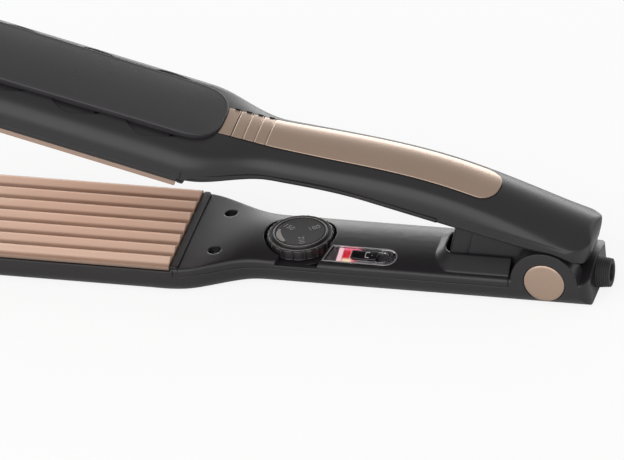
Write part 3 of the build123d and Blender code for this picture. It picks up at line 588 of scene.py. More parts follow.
def finishes() -> dict[Slot, bpy.types.Material]:
    """Builds every material once.

    Returns:
        The material of each slot.
    """
    made = {
        Slot.BLACK: MouldedPlastic("black_plastic", srgb(32, 30, 32), roughness=0.36, soften=0.7),
        Slot.COVER: MouldedPlastic(
            "satin_cover", srgb(48, 46, 48), 0.3, grain=0.25, grain_depth=0.005, mottling=0.08
        ),
        Slot.GLOSS: MouldedPlastic(
            "gloss_black", srgb(20, 18, 20), 0.18, grain=0.3, grain_depth=0.003, mottling=0.1
        ),
        # The dial's edges carry a strong painted highlight.
        Slot.DIAL: MouldedPlastic(
            "dial_plastic", srgb(36, 34, 36), 0.3, grain=0.3, grain_depth=0.008, mottling=0.1,
            edge_radius=0.22, edge_highlight=3.4,
        ),
        Slot.FRAME: MouldedPlastic(
            "frame_plastic", srgb(28, 26, 28), 0.36, grain=0.4, grain_depth=0.015
        ),
        # The plate's valley and side colours are painted shade.
        Slot.PLATE: PlateCoating(
            "plate_coating", colour=srgb(218, 187, 168), tarnish=srgb(206, 173, 153),
            valley_shade=srgb(148, 116, 97), side=srgb(150, 127, 112),
        ),
        Slot.CHAMPAGNE: Champagne("champagne", srgb(172, 149, 132)),
        Slot.CLEAR: ClearPlastic("clear_window", tint=(0.97, 0.97, 0.98, 1.0)),
        Slot.RED: RedLens("red_lens", srgb(225, 25, 45), strength=1.5),
        Slot.CERAMIC: PowderSurface(
            "heater_ceramic", srgb(232, 228, 220), srgb(205, 198, 186), grain=0.4, depth=0.02
        ),
        Slot.SPRING: Steel("spring_steel", srgb(190, 190, 192)),
        Slot.SCREW: Steel("screw_steel", srgb(176, 176, 180), roughness=0.26),
        Slot.SLEEVE: WovenSleeve("lead_sleeve", srgb(236, 230, 216), srgb(180, 172, 156)),
        Slot.BOARD: SolderMask("board", mask=srgb(20, 84, 48), track=srgb(60, 140, 84)),
        Slot.COMPONENT: MouldedPlastic("component_plastic", srgb(38, 38, 42), roughness=0.45),
        Slot.RUBBER: PowderSurface(
            "gland_rubber", srgb(44, 43, 44), srgb(30, 29, 30), 0.25, 0.02, roughness=0.65
        ),
    }
    return {slot: finish.material() for slot, finish in made.items()}


def seam_shadow() -> bpy.types.Material:
    """Makes the painted shadow that lies in seams and gaps."""
    shadow = PowderSurface(
        "seam_shadow", srgb(16, 15, 16), srgb(8, 8, 8), grain=0.3, depth=0.005, roughness=0.9
    )
    return shadow.material()


# Meshes


@dataclass
class Surface:
    """Mesh under construction, from grids of points in millimetres."""

    points: list[Array] = field(default_factory=list)
    quads: list[Array] = field(default_factory=list)
    count: int = 0

    def grid(self, points: Array, wrap: bool = True, ends: bool = True) -> "Surface":
        """Adds a grid of points: neighbours in rows and columns are joined by quads.

        Args:
            points: Array of rows, columns and three coordinates.
            wrap: Joins the last column to the first.
            ends: Closes the first and last row with a fan to the row's mean.

        Returns:
            The surface itself.
        """
        if ends:
            first, last = (
                np.broadcast_to(row.mean(1, keepdims=True), row.shape)
                for row in (points[:1], points[-1:])
            )
            points = np.concatenate([first, points, last])
        rows, columns = points.shape[:2]
        index = np.arange(rows * columns).reshape(rows, columns) + self.count
        if wrap:
            index = np.concatenate([index, index[:, :1]], axis=1)
        corners = [index[:-1, :-1], index[:-1, 1:], index[1:, 1:], index[1:, :-1]]
        self.quads.append(np.stack(corners, axis=-1).reshape(-1, 4))
        self.points.append(points.reshape(-1, 3))
        self.count += rows * columns
        return self

    def sheet(self, points: Array) -> "Surface":
        """Adds a grid that is open on all its sides."""
        return self.grid(points, wrap=False, ends=False)

    def piece(self, name: str, arm: Arm = Arm.LOWER, sharp: float = 32.0) -> Piece:
        """Makes the object: doubles merged, faces outwards, smooth but for its sharp edges.

        Args:
            name: Name of the object and its mesh.
            arm: Arm whose rest angle the points are turned by.
            sharp: Angle in degrees above which an edge stays sharp.

        Returns:
            The new object.
        """
        mesh = bpy.data.meshes.new(name)
        placed = turned(np.concatenate(self.points), arm) * MM
        mesh.from_pydata(placed.tolist(), [], np.concatenate(self.quads).tolist())
        return finished(name, mesh, sharp)


def turned(points: Array, arm: Arm, back: bool = False) -> Array:
    """Turns points of the closed arm about the hinge to where the arm rests, or back.

    With d the place from the hinge, x becomes d.x cos a + d.z sin a and z becomes
    d.z cos a - d.x sin a.

    Args:
        points: Places in millimetres, with the coordinates last.
        arm: Arm that they belong to.
        back: Turns them from the resting arm to the closed one.

    Returns:
        The turned places.
    """
    angle = math.radians(-arm.value if back else arm.value)
    hinge = np.array([SIZES.hinge_x, 0.0, SIZES.hinge_z])
    offset = points - hinge
    x = offset[..., 0] * math.cos(angle) + offset[..., 2] * math.sin(angle)
    z = offset[..., 2] * math.cos(angle) - offset[..., 0] * math.sin(angle)
    return joined(x, offset[..., 1], z) + hinge


def places_of(mesh: bpy.types.Mesh) -> Array:
    """Places of a mesh's vertices, in millimetres."""
    places = np.zeros(len(mesh.vertices) * 3)
    mesh.vertices.foreach_get("co", places)
    return places.reshape(-1, 3) / MM


def smoothed(mesh: bpy.types.Mesh, sharp: float) -> None:
    """Smooths a mesh but for its edges sharper than an angle in degrees."""
    mesh.shade_smooth()
    mesh.set_sharp_from_angle(angle=math.radians(sharp))


def finished(name: str, mesh: bpy.types.Mesh, sharp: float) -> Piece:
    """Merges doubles, turns faces outwards, smooths a mesh and links its object."""
    work = bmesh.new()
    work.from_mesh(mesh)
    bmesh.ops.remove_doubles(work, verts=work.verts, dist=2e-6)
    bmesh.ops.dissolve_degenerate(work, edges=work.edges, dist=1e-7)
    bmesh.ops.recalc_face_normals(work, faces=work.faces)
    work.to_mesh(mesh)
    work.free()
    smoothed(mesh, sharp)
    made = bpy.data.objects.new(name, mesh)
    bpy.context.scene.collection.objects.link(made)
    return made


def weigh_normals(mesh: bpy.types.Mesh, limit: float) -> None:
    """Sets each corner's normal to sum(A_j n_j) over the faces j at its point.

    Only faces within a limit, in degrees, of the corner's own face count, so flat faces stay flat.
    """
    vertex = np.zeros(len(mesh.loops), np.int32)
    mesh.loops.foreach_get("vertex_index", vertex)
    sizes = np.zeros(len(mesh.polygons), np.int32)
    mesh.polygons.foreach_get("loop_total", sizes)
    area = np.zeros(len(sizes))
    mesh.polygons.foreach_get("area", area)
    normal = np.zeros(len(sizes) * 3)
    mesh.polygons.foreach_get("normal", normal)
    normal = normal.reshape(-1, 3)
    face = np.repeat(np.arange(len(sizes)), sizes)
    order = np.argsort(vertex, kind="stable")
    group = np.bincount(vertex, minlength=len(mesh.vertices))
    first = np.cumsum(group) - group
    members = group[vertex[order]]
    mine = np.repeat(order, members)
    step = np.arange(len(mine)) - np.repeat(np.cumsum(members) - members, members)
    other = face[order[first[vertex[mine]] + step]]
    close = (normal[face[mine]] * normal[other]).sum(1) > math.cos(math.radians(limit))
    share = (area[other] * close)[:, None] * normal[other]
    total = np.stack([np.bincount(mine, share[:, axis], len(vertex)) for axis in range(3)], axis=-1)
    total /= np.maximum(np.linalg.norm(total, axis=1, keepdims=True), 1e-12)
    mesh.normals_split_custom_set(total.tolist())


def rounded_edges(piece: Piece, width: float) -> Piece:
    """Rounds the sharp edges of a piece with a Bevel modifier, by a width in millimetres."""
    bevel = piece.modifiers.new("edges", "BEVEL")
    bevel.width = width * MM
    bevel.segments = 2
    bevel.limit_method = "ANGLE"
    bevel.angle_limit = math.radians(34)
    bevel.harden_normals = True
    return piece


def copy_of(node: str, name: str, flatten: bool, sharp: float = 30.0) -> Piece:
    """Merged and smoothed copy of a CAD node.

    Args:
        node: CAD node.
        name: Name of the copy.
        flatten: Joins the triangles of each flat face, so that edges can be rounded.
        sharp: Angle in degrees above which an edge stays sharp.

    Returns:
        The new object.
    """
    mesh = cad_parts[node].data.copy()
    mesh.name = name
    if mesh.has_custom_normals:
        mesh.normals_split_custom_set(np.zeros((len(mesh.loops), 3)).tolist())
    made = finished(name, mesh, sharp)
    if flatten:
        work = bmesh.new()
        work.from_mesh(mesh)
        bmesh.ops.dissolve_limit(
            work, angle_limit=math.radians(1.0), verts=work.verts, edges=work.edges
        )
        work.to_mesh(mesh)
        work.free()
        smoothed(mesh, sharp)
    else:
        weigh_normals(mesh, sharp)
    return made


def bent(wave: Array, power: float) -> Array:
    """Values raised to a power with their signs kept."""
    return np.sign(wave) * np.abs(wave) ** power


def whole_turn(count: int) -> Array:
    """Even angles over a whole turn."""
    return np.linspace(0, 2 * np.pi, count, endpoint=False)


def revolved(profile: Array, sides: int, radius_scale: Array | None = None) -> Array:
    """Grid of a profile turned about the z axis: x = r cos t, y = r sin t.

    Args:
        profile: Rows of radius and height.
        sides: Number of points round the axis.
        radius_scale: Factor on the radius, per row and side.

    Returns:
        Grid of points.
    """
    angle = whole_turn(sides)
    radius = profile[:, :1] * (np.ones((1, sides)) if radius_scale is None else radius_scale)
    return joined(radius * np.cos(angle), radius * np.sin(angle), profile[:, 1:])


def tube(path: Array, radius: float, reference: Triple = UP, sides: int = 8) -> Array:
    """Grid of a round tube along a path: p + r (n cos t + b sin t), with n across a reference.

    Args:
        path: Points of its middle line.
        radius: Radius in millimetres.
        reference: Direction that n is square to, and never along the path.
        sides: Number of points round the tube.

    Returns:
        Grid of points.
    """
    along = np.gradient(path, axis=0)
    along /= np.linalg.norm(along, axis=1, keepdims=True)
    normal = np.cross(along, np.array(reference, float))
    normal /= np.linalg.norm(normal, axis=1, keepdims=True)
    across = np.cross(along, normal)
    angle = whole_turn(sides)[None, :, None]
    ring = normal[:, None] * np.cos(angle) + across[:, None] * np.sin(angle)
    return path[:, None] + radius * ring


def arc(centre: Pair, radius: float, start: float, end: float, steps: int) -> Array:
    """Points on an arc, with angles in degrees."""
    angle = np.radians(np.linspace(start, end, steps))
    return joined(centre[0] + radius * np.cos(angle), centre[1] + radius * np.sin(angle))


@dataclass(frozen=True)
class Bar:
    """Bar with rounded ends and sides: superellipses over its length and over its section.

    With u from -1 to 1 along it, each half size is scaled by (1 - |u|^p)^(1/p), where a higher p
    gives squarer ends. Its section is |cos t|^q and |sin t|^q with their signs, and a lower q
    makes it squarer.
    """

    length: float
    width: float
    height: float
    end_power: float
    side_power: float

    def grids(self) -> tuple[Array, Array, Array]:
        """Grids of the place along, across and up, about the bar's middle."""
        u = np.sin(np.linspace(-np.pi / 2, np.pi / 2, 80))[:, None]
        angle = whole_turn(64)[None]
        reach = (1 - np.abs(u) ** self.end_power) ** (1 / self.end_power)
        across = bent(np.cos(angle), self.side_power) * self.width / 2 * reach
        up = bent(np.sin(angle), self.side_power) * self.height / 2 * (0.4 + 0.6 * reach)
        return self.length / 2 * u * np.ones_like(across), across, up


# Shared sizes


@dataclass(frozen=True)
class Sizes:
    """Stations and sizes that several pieces share, as in the CAD source.

    A pair of sizes holds the one beside the plates and the one on the handle.
    """

    tip_x: float = -130.05
    plate_front: float = -122.45
    plate_rear: float = -26.45
    bar_rear: float = -23.65
    cover_start: float = -23.45
    dial_x: float = 15.75
    peak_x: float = 63.75
    hinge_x: float = 109.05
    hinge_z: float = 10.4
    plate_mid_z: float = 12.425
    handle_half: float = 15.5
    body_half: float = 25.7
    deck_z: float = 26.4
    back_top: float = 35.425
    back_fall: float = 6.4
    base: Pair = (14.25, 20.225)
    base_run: float = 63.4
    shoulder_in: Pair = (6.7, 3.5)
    shoulder_drop: Pair = (1.4, 2.9)
    taper_from: float = 10.0
    taper_run: float = 31.0

    @property
    def taper_end(self) -> float:
        """Station where the section has become the handle's."""
        return self.bar_rear + self.taper_run

    def tapered(self, pair: Pair, x: Array) -> Array:
        """Size that changes from the plates' to the handle's."""
        return ease(*pair, x, self.bar_rear - self.taper_from, self.taper_end)

    def half_width(self, x: Array) -> Array:
        """Half width of both arms."""
        return ease(self.body_half, self.handle_half, x, self.bar_rear - 3, self.bar_rear + 28)

    def upper_top(self, x: Array) -> Array:
        """Height of the upper arm's back, closed."""
        start = self.bar_rear - self.taper_from
        rise = ease(self.deck_z, self.back_top, x, start, self.peak_x)
        return rise - ease(0, self.back_fall, x, self.peak_x, self.hinge_x + 32)

    def upper_base(self, x: Array) -> Array:
        """Height of the upper arm's underside, closed."""
        return ease(*self.base, x, self.bar_rear, self.bar_rear + self.base_run)

    def upper_back(self, x: Array, y: Array, grow: float = 0.0) -> Array:
        """Height of the crowned back: a circle through both shoulders and the crown."""
        shoulder = self.half_width(x) - self.tapered(self.shoulder_in, x) + 0.7 * grow
        drop = self.tapered(self.shoulder_drop, x) + 0.2 * grow
        radius = (shoulder**2 + drop**2) / (2 * drop)
        return self.upper_top(x) + grow - radius + np.sqrt(np.maximum(radius**2 - y**2, 0))


SIZES = Sizes()


@dataclass
class Workshop:
    """Finishes of the part, and the bench where its pieces are dressed."""

    materials: dict[Slot, bpy.types.Material] = field(default_factory=finishes)
    shadow: bpy.types.Material = field(default_factory=seam_shadow)

    def mount(
        self, piece: Piece, slot: Slot, body: Body, *nodes: str,
        material: bpy.types.Material | None = None,
    ) -> None:
        """Dresses a piece and fixes it to its body.

        Args:
            piece: Object to fix.
            slot: Material slot it takes its finish from.
            body: Body it rides on.
            nodes: CAD nodes it stands for.
            material: Material to use in place of the slot's own.
        """
        piece.data.materials.clear()
        piece.data.materials.append(material or self.materials[slot])
        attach(piece, body.value)
        if nodes:
            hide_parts(*nodes)
        log.info("%s: %d faces on %s", piece.name, len(piece.data.polygons), body.value)

    def polish(self, node: str, name: str, width: float, slot: Slot, body: Body) -> None:
        """Replaces a CAD node by a copy with rounded edges.

        Args:
            node: CAD node.
            name: Name of the copy.
            width: Width of the rounding in millimetres.
            slot: Material slot of the node.
            body: Body it rides on.
        """
        self.mount(rounded_edges(copy_of(node, name, True), width), slot, body, node)

    def keep(self, node: str, slot: Slot) -> None:
        """Gives a CAD node that stays its material."""
        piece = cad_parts[node]
        piece.data.materials.clear()
        piece.data.materials.append(self.materials[slot])
        log.info("%s: CAD node kept", node)


# Sub-assemblies


@dataclass
class Housings:
    """The four plastic shells of the arms."""

    shop: Workshop
    neck: Bar = Bar(length=16.0, width=8.0, height=14.44, end_power=30.0, side_power=0.36)
    neck_place: Pair = (76.3, 11.4)

    def build(self) -> None:
        """Copies the CAD shells with smooth normals, and adds the upper arm's skin and neck."""
        shells = {
            "lower_shell": Body.LOWER,
            "lower_inner_cover": Body.LOWER,
            "upper_shell": Body.UPPER,
            "upper_inner_cover": Body.UPPER,
        }
        skin = BackSkin(self.shop)
        for node, body in shells.items():
            copy = copy_of(node, node + "_skin", False)
            if node == "upper_shell":
                skin.draw_in(copy)
            self.shop.mount(copy, Slot.BLACK, body, node)
        skin.build()
        self.shop.mount(self.neck_front(), Slot.BLACK, Body.UPPER)
        # Painted shadow along the inner cover's seams.
        self.shop.mount(skin.seams(), Slot.BLACK, Body.UPPER, material=self.shop.shadow)

    def neck_front(self) -> Piece:
        """Rounded front of the neck that dips into the pocket."""
        up, x, y = self.neck.grids()
        place = joined(self.neck_place[0] + x, y, self.neck_place[1] + up)
        return Surface().grid(place).piece("neck_front", Arm.UPPER)


NO_LIMIT = 90.0


@dataclass(frozen=True)
class SectionPoints:
    """Numbers of points on the parts of half a section of the upper arm."""

    corner: int
    upright: int
    side: int
    crown_edge: int
    crown: int


@dataclass(frozen=True)
class EndRound:
    """Quarter circle that ends one face of the upper arm: its radius and the face's level."""

    radius: float
    level: float

    def bow(self, inside: Array) -> Array:
        """Fall of the circle by the distance d inside its end: r - sqrt(r^2 - (r - d)^2)."""
        run = np.clip(self.radius - inside, 0, self.radius)
        return self.radius - np.sqrt(self.radius**2 - run**2)

    def below(self, inside: Array, reach: float) -> Array:
        """Level less the fall near the end, and no limit past the reach."""
        return np.where(inside < reach, self.level - self.bow(inside), NO_LIMIT)


@dataclass
class BackSkin:
    """Smooth outer face of the upper arm, with the scoops beside the top cover.

    The arm's section is a corner arc, an upright, a side curve and a crown. The skin runs along it
    from the lower edge over the back to the other lower edge, and returns inside.
    """

    shop: Workshop
    thickness: float = 0.7
    bulk: float = 0.9
    bulk_run: Pair = (12.0, 16.0)
    crease: float = 3.4
    plate_edge: float = 14.65
    clearance: float = 0.2
    crease_end: float = 66.35
    ear_room: float = 12.7
    rear: float = 122.05
    middle: float = 60.0
    corner: Pair = (1.5, 4.0)
    upright: Pair = (2.7, 0.4)
    crown_edge: float = 0.27
    nose_plan: EndRound = EndRound(9.0, 25.9)
    tail_plan: EndRound = EndRound(11.0, 15.7)
    nose_top: EndRound = EndRound(7.0, 27.4)
    tail_top: EndRound = EndRound(5.0, 30.58)
    nose_base: EndRound = EndRound(6.5, 8.25)
    tail_base: EndRound = EndRound(3.0, 19.74)
    fold: Pair = (3.6, 6.0)
    fold_run: Pair = (-10.0, 100.0)
    fold_width: float = 0.7
    fold_depth: float = 0.35
    fold_start: Pair = (-24.0, -4.0)
    scoops: tuple[float, ...] = (-50.3, -78.3, -106.3)
    scoop_length: float = 22.5
    scoop_width: float = 6.2
    scoop_peak: float = 0.36
    scoop_depth: float = 2.0
    scoop_wall: float = 1.1
    scoop_from: float = 15.2
    scoop_floor: float = 24.42
    scoop_powers: Pair = (1.6, 0.9)
    scoop_corner: float = 5.0
    scoop_run_out: float = 0.55
    scoop_run_in: float = 0.06
    seam: float = 0.16
    near: float = 0.9
    tuck: float = 0.15
    outside: SectionPoints = SectionPoints(8, 8, 24, 28, 12)
    inside: SectionPoints = SectionPoints(3, 3, 7, 3, 6)
    fine: SectionPoints = SectionPoints(20, 8, 40, 20, 40)
    coarse: SectionPoints = SectionPoints(2, 2, 2, 2, 2)

    def stations(self) -> tuple[Array, Array]:
        """Places along the arm and the height of the lower edge at each; steps come as pairs."""
        s = SIZES
        round_end = 1 - np.cos(np.linspace(0, np.pi / 2, 15))
        gap = self.clearance
        marks = (s.plate_front - gap, s.plate_rear + gap, s.cover_start, self.crease_end)
        nose = s.tip_x + self.nose_plan.radius * round_end[:-2]
        nose = np.unique(np.concatenate([nose, [marks[0]]]))
        nose = nose[nose <= marks[0]]
        plate = np.linspace(marks[0], marks[1], 190)
        bar = np.linspace(marks[1], marks[2], 5)
        handle = np.linspace(marks[2], marks[3], 90)
        rest = np.linspace(marks[3], self.rear - self.tail_plan.radius, 56)
        tail = self.rear - self.tail_plan.radius * round_end[::-1]
        x = np.concatenate([nose, plate, bar, handle, rest, tail[1:]])
        base = s.upper_base(x)
        ear = np.maximum(self.ear_room**2 - (x - s.hinge_x) ** 2, 0)
        ear = np.where(ear > 0, s.hinge_z + np.sqrt(ear), 0)
        bar_from = len(nose) + len(plate)
        handle_from = bar_from + len(bar)
        rest_from = handle_from + len(handle)
        level = [base[: len(nose)], np.full(len(plate), self.plate_edge)]
        level += [base[bar_from:handle_from], base[handle_from:rest_from] + self.crease]
        level += [np.maximum(base, ear)[rest_from:]]
        return x, np.concatenate(level)

    def limits(self, x: Array, grow: float) -> tuple[Array, Array, Array]:
        """Half width, top and bottom that the rounded nose and tail leave of the section.

        Args:
            x: Stations.
            grow: Offset of the section, outwards.

        Returns:
            Greatest half width and height, and least height, at each station.
        """
        nose, tail = np.maximum(x - SIZES.tip_x, 0), np.maximum(self.rear - x, 0)
        tail_half = NO_LIMIT * (x < self.middle) + self.tail_plan.level - self.tail_plan.bow(tail)
        plan = np.minimum(self.nose_plan.level - self.nose_plan.bow(nose), tail_half)
        top = np.minimum(
            self.nose_top.below(nose, self.nose_top.radius),
            self.tail_top.below(tail, self.tail_top.radius),
        )
        rounded = nose < self.nose_base.radius
        nose_base = np.where(rounded, self.nose_base.level + self.nose_base.bow(nose), 0.0)
        tail_base = self.tail_base.level + self.tail_base.bow(tail)
        bottom = np.where(x < self.middle, nose_base, np.maximum(nose_base, tail_base))
        return plan + grow, top + grow, bottom

    def half_section(
        self, x: Array, low: Array, grow: float, counts: SectionPoints
    ) -> Array:
        """Near half of the section, from the lower edge to the middle of the back.

        The side is the cubic from the upright's top, going up, to the crown's edge, along the
        crown. The crown is a circle. A shallow fold is pressed into the handle's lower side.

        Args:
            x: Stations, as a column.
            low: Height of the lower edge at each station, as a column.
            grow: Offset of the section, outwards.
            counts: Points on each part of the section.

        Returns:
            Grid of y and z.
        """
        s = SIZES
        half, top, base = s.half_width(x) + grow, s.upper_top(x) + grow, s.upper_base(x)
        bulk_from, bulk_to = s.bar_rear - self.bulk_run[0], s.bar_rear + self.bulk_run[1]
        top = top + ease(self.bulk, 0.0, x, bulk_from, bulk_to)
        corner = ease(*self.corner, x, s.bar_rear, s.taper_end)
        side_top = corner + ease(*self.upright, x, s.bar_rear, s.taper_end)
        shoulder = half - s.tapered(s.shoulder_in, x)
        drop = s.tapered(s.shoulder_drop, x)
        rise = low - base
        first = np.arccos(np.clip(1 - rise / corner, 0, 1))
        turn = first + (np.pi / 2 - first) * np.linspace(0, 1, counts.corner)[None]
        arc_y = corner - half - corner * np.sin(turn)
        arc_z = base + corner - corner * np.cos(turn)
        start = np.maximum(corner, rise)
        up_z = base + start + (side_top - start) * np.linspace(0, 1, counts.upright)[None]
        radius = (shoulder**2 + drop**2) / (2 * drop)
        t = np.linspace(0, 1, counts.side)[None]
        ends = (2 * t**3 - 3 * t**2 + 1, t**3 - 2 * t**2 + t, 3 * t**2 - 2 * t**3, t**3 - t**2)
        chord = np.hypot(half - shoulder, top - drop - base - side_top)
        side_y = -half * ends[0] - shoulder * ends[2] + chord * (radius - drop) / radius * ends[3]
        side_z = (base + side_top) * ends[0] + chord * ends[1] + (top - drop) * ends[2]
        side_z = side_z + chord * shoulder / radius * ends[3]
        edge = np.linspace(0, self.crown_edge, counts.crown_edge)
        inner = np.linspace(self.crown_edge, 1, counts.crown)[1:]
        crown_y = shoulder * (np.concatenate([edge, inner])[None] - 1)
        crown_z = top - radius + np.sqrt(radius**2 - crown_y**2)
        y = np.concatenate([arc_y, np.broadcast_to(-half, up_z.shape), side_y, crown_y], axis=1)
        z = np.concatenate([arc_z, up_z, side_z, crown_z], axis=1)
        fold = base + ease(*self.fold, x, *self.fold_run)
        under = 1 - np.clip((z - fold) / self.fold_width + 0.5, 0, 1)
        pressed = self.fold_depth * under * ease(0.0, 1.0, x, *self.fold_start)
        y = y + pressed * (z < fold + 0.5)
        plan, roof, floor = self.limits(x, grow)
        y, z = np.maximum(y, -plan), np.clip(z, np.maximum(floor, low * (floor > 0)), roof)
        return joined(y, z)

    def scooped(self, x: Array, section: Array) -> Array:
        """Lowers the back in each scoop beside the cover.

        With s from 0 at its front to 1 at its rear, the scoop reaches b(s) out from the cover: up
        to the peak along a curve, then almost straight back in, with the corner between rounded.
        It is deepest up to 0.45 and runs out to the rear.

        Args:
            x: Stations, as a column.
            section: Grid of y and z.

        Returns:
            The grid with the scoops.
        """
        y, z = section[..., 0], section[..., 1]
        depth = np.zeros_like(z)
        out_power, in_power = self.scoop_powers
        for front in self.scoops:
            s = np.clip((x - front) / self.scoop_length, 0, 1)
            rise = np.clip(s / self.scoop_peak, 0, 1)
            fall = np.clip((1 - s) / (1 - self.scoop_peak), 0, 1)
            up = np.maximum(1 - (1 - rise) ** out_power, 1e-6)
            down = np.maximum(fall**in_power, 1e-6)
            smooth = up**-self.scoop_corner + down**-self.scoop_corner
            reach = self.scoop_width * smooth ** (-1 / self.scoop_corner)
            inside = np.clip((reach - (np.abs(y) - self.scoop_from)) / self.scoop_wall, 0, 1)
            inside = inside * (np.abs(y) > self.scoop_from - 3) * (s > 0) * (s < 1)
            run_out = np.clip((1 - s) / self.scoop_run_out, 0, 1)
            ends = run_out * np.clip(s / self.scoop_run_in, 0, 1)
            depth = np.maximum(depth, self.scoop_depth * ends * inside * inside * (3 - 2 * inside))
        lowest = np.minimum(z, self.scoop_floor)
        lowered = np.where(depth > 0, np.maximum(z - depth, lowest), z)
        return joined(y, lowered)

    def ring(self, x: Array, low: Array) -> Array:
        """Closed loop at each station: over the outside and back on the inside."""
        x, low = x[:, None], low[:, None]
        outer = self.scooped(x, self.half_section(x, low, 0.0, self.outside))
        inner = self.half_section(x, low, -self.thickness, self.inside)
        inner_x = np.clip(x, SIZES.tip_x + self.thickness, self.rear - self.thickness)
        mirror = np.array([-1.0, 1.0])
        parts = [(outer, x), (outer[:, ::-1] * mirror, x)]
        parts += [(inner * mirror, inner_x), (inner[:, ::-1], inner_x)]
        rows = [joined(place, part[..., 0], part[..., 1]) for part, place in parts]
        return np.concatenate(rows, axis=1)

    def build(self) -> None:
        """Makes the skin; rows drawn in to the middle of the lower edge close its ends."""
        x, low = self.stations()
        grid = self.ring(x, low)
        caps = []
        for row in (grid[0], grid[-1]):
            middle = np.array([0.0, 0.0, row[:, 2].min()])
            scale = np.linspace(0, 1, 6)[:-1, None, None]
            drawn = middle + (row - middle) * scale
            drawn[..., 0] = row[:, 0]
            caps.append(drawn)
        rows = np.concatenate([caps[0], grid, caps[1][::-1]])
        skin = Surface().grid(rows, ends=False).piece("upper_back_skin", Arm.UPPER, 50)
        self.shop.mount(skin, Slot.BLACK, Body.UPPER, "upper_shell")

    def seams(self) -> Piece:
        """Painted shadow lines where the inner cover meets the shell, on both sides."""
        x = np.linspace(SIZES.cover_start + 1, self.crease_end - 1, 120)[:, None]
        level = SIZES.upper_base(x) + self.crease - 0.1
        edge = self.half_section(x, level, 0.0, self.coarse)[:, 0]
        surface = Surface()
        for side in (1.0, -1.0):
            path = joined(x[:, 0], side * (edge[:, 0] + 0.02), edge[:, 1])
            surface.grid(tube(path, self.seam))
        return surface.piece("inner_cover_seam_shadows", Arm.UPPER)

    def draw_in(self, piece: Piece) -> None:
        """Draws the copy of the CAD shell in under the skin, where it lies on the arm's outside.

        A point nearer to the section's outline than a small gap has its place scaled towards the
        middle of the arm's underside, by one part in its half width and in its height.

        Args:
            piece: Copy of the upper shell.
        """
        points = turned(places_of(piece.data), Arm.UPPER, back=True)
        x = points[:, :1]
        outline = self.half_section(x, SIZES.upper_base(x), 0.0, self.fine)
        near = joined(-np.abs(points[:, 1:2]), points[:, 2:])
        gap = np.linalg.norm(outline - near, axis=-1).min(axis=1)
        base, top = SIZES.upper_base(x[:, 0]), SIZES.upper_top(x[:, 0])
        outside = (gap < self.near) & (points[:, 2] < top + 0.05)
        shrink = self.thickness + self.tuck
        moved = points.copy()
        moved[:, 0] = np.clip(points[:, 0], SIZES.tip_x + shrink, self.rear - shrink)
        moved[:, 1] *= 1 - shrink / SIZES.half_width(x[:, 0])
        moved[:, 2] = base + (points[:, 2] - base) * (1 - shrink / (top - base))
        points = np.where(outside[:, None], moved, points)
        piece.data.vertices.foreach_set("co", (turned(points, Arm.UPPER) * MM).ravel())
        piece.data.update()
        log.info("upper_shell_skin: %d of %d points drawn in", outside.sum(), len(outside))


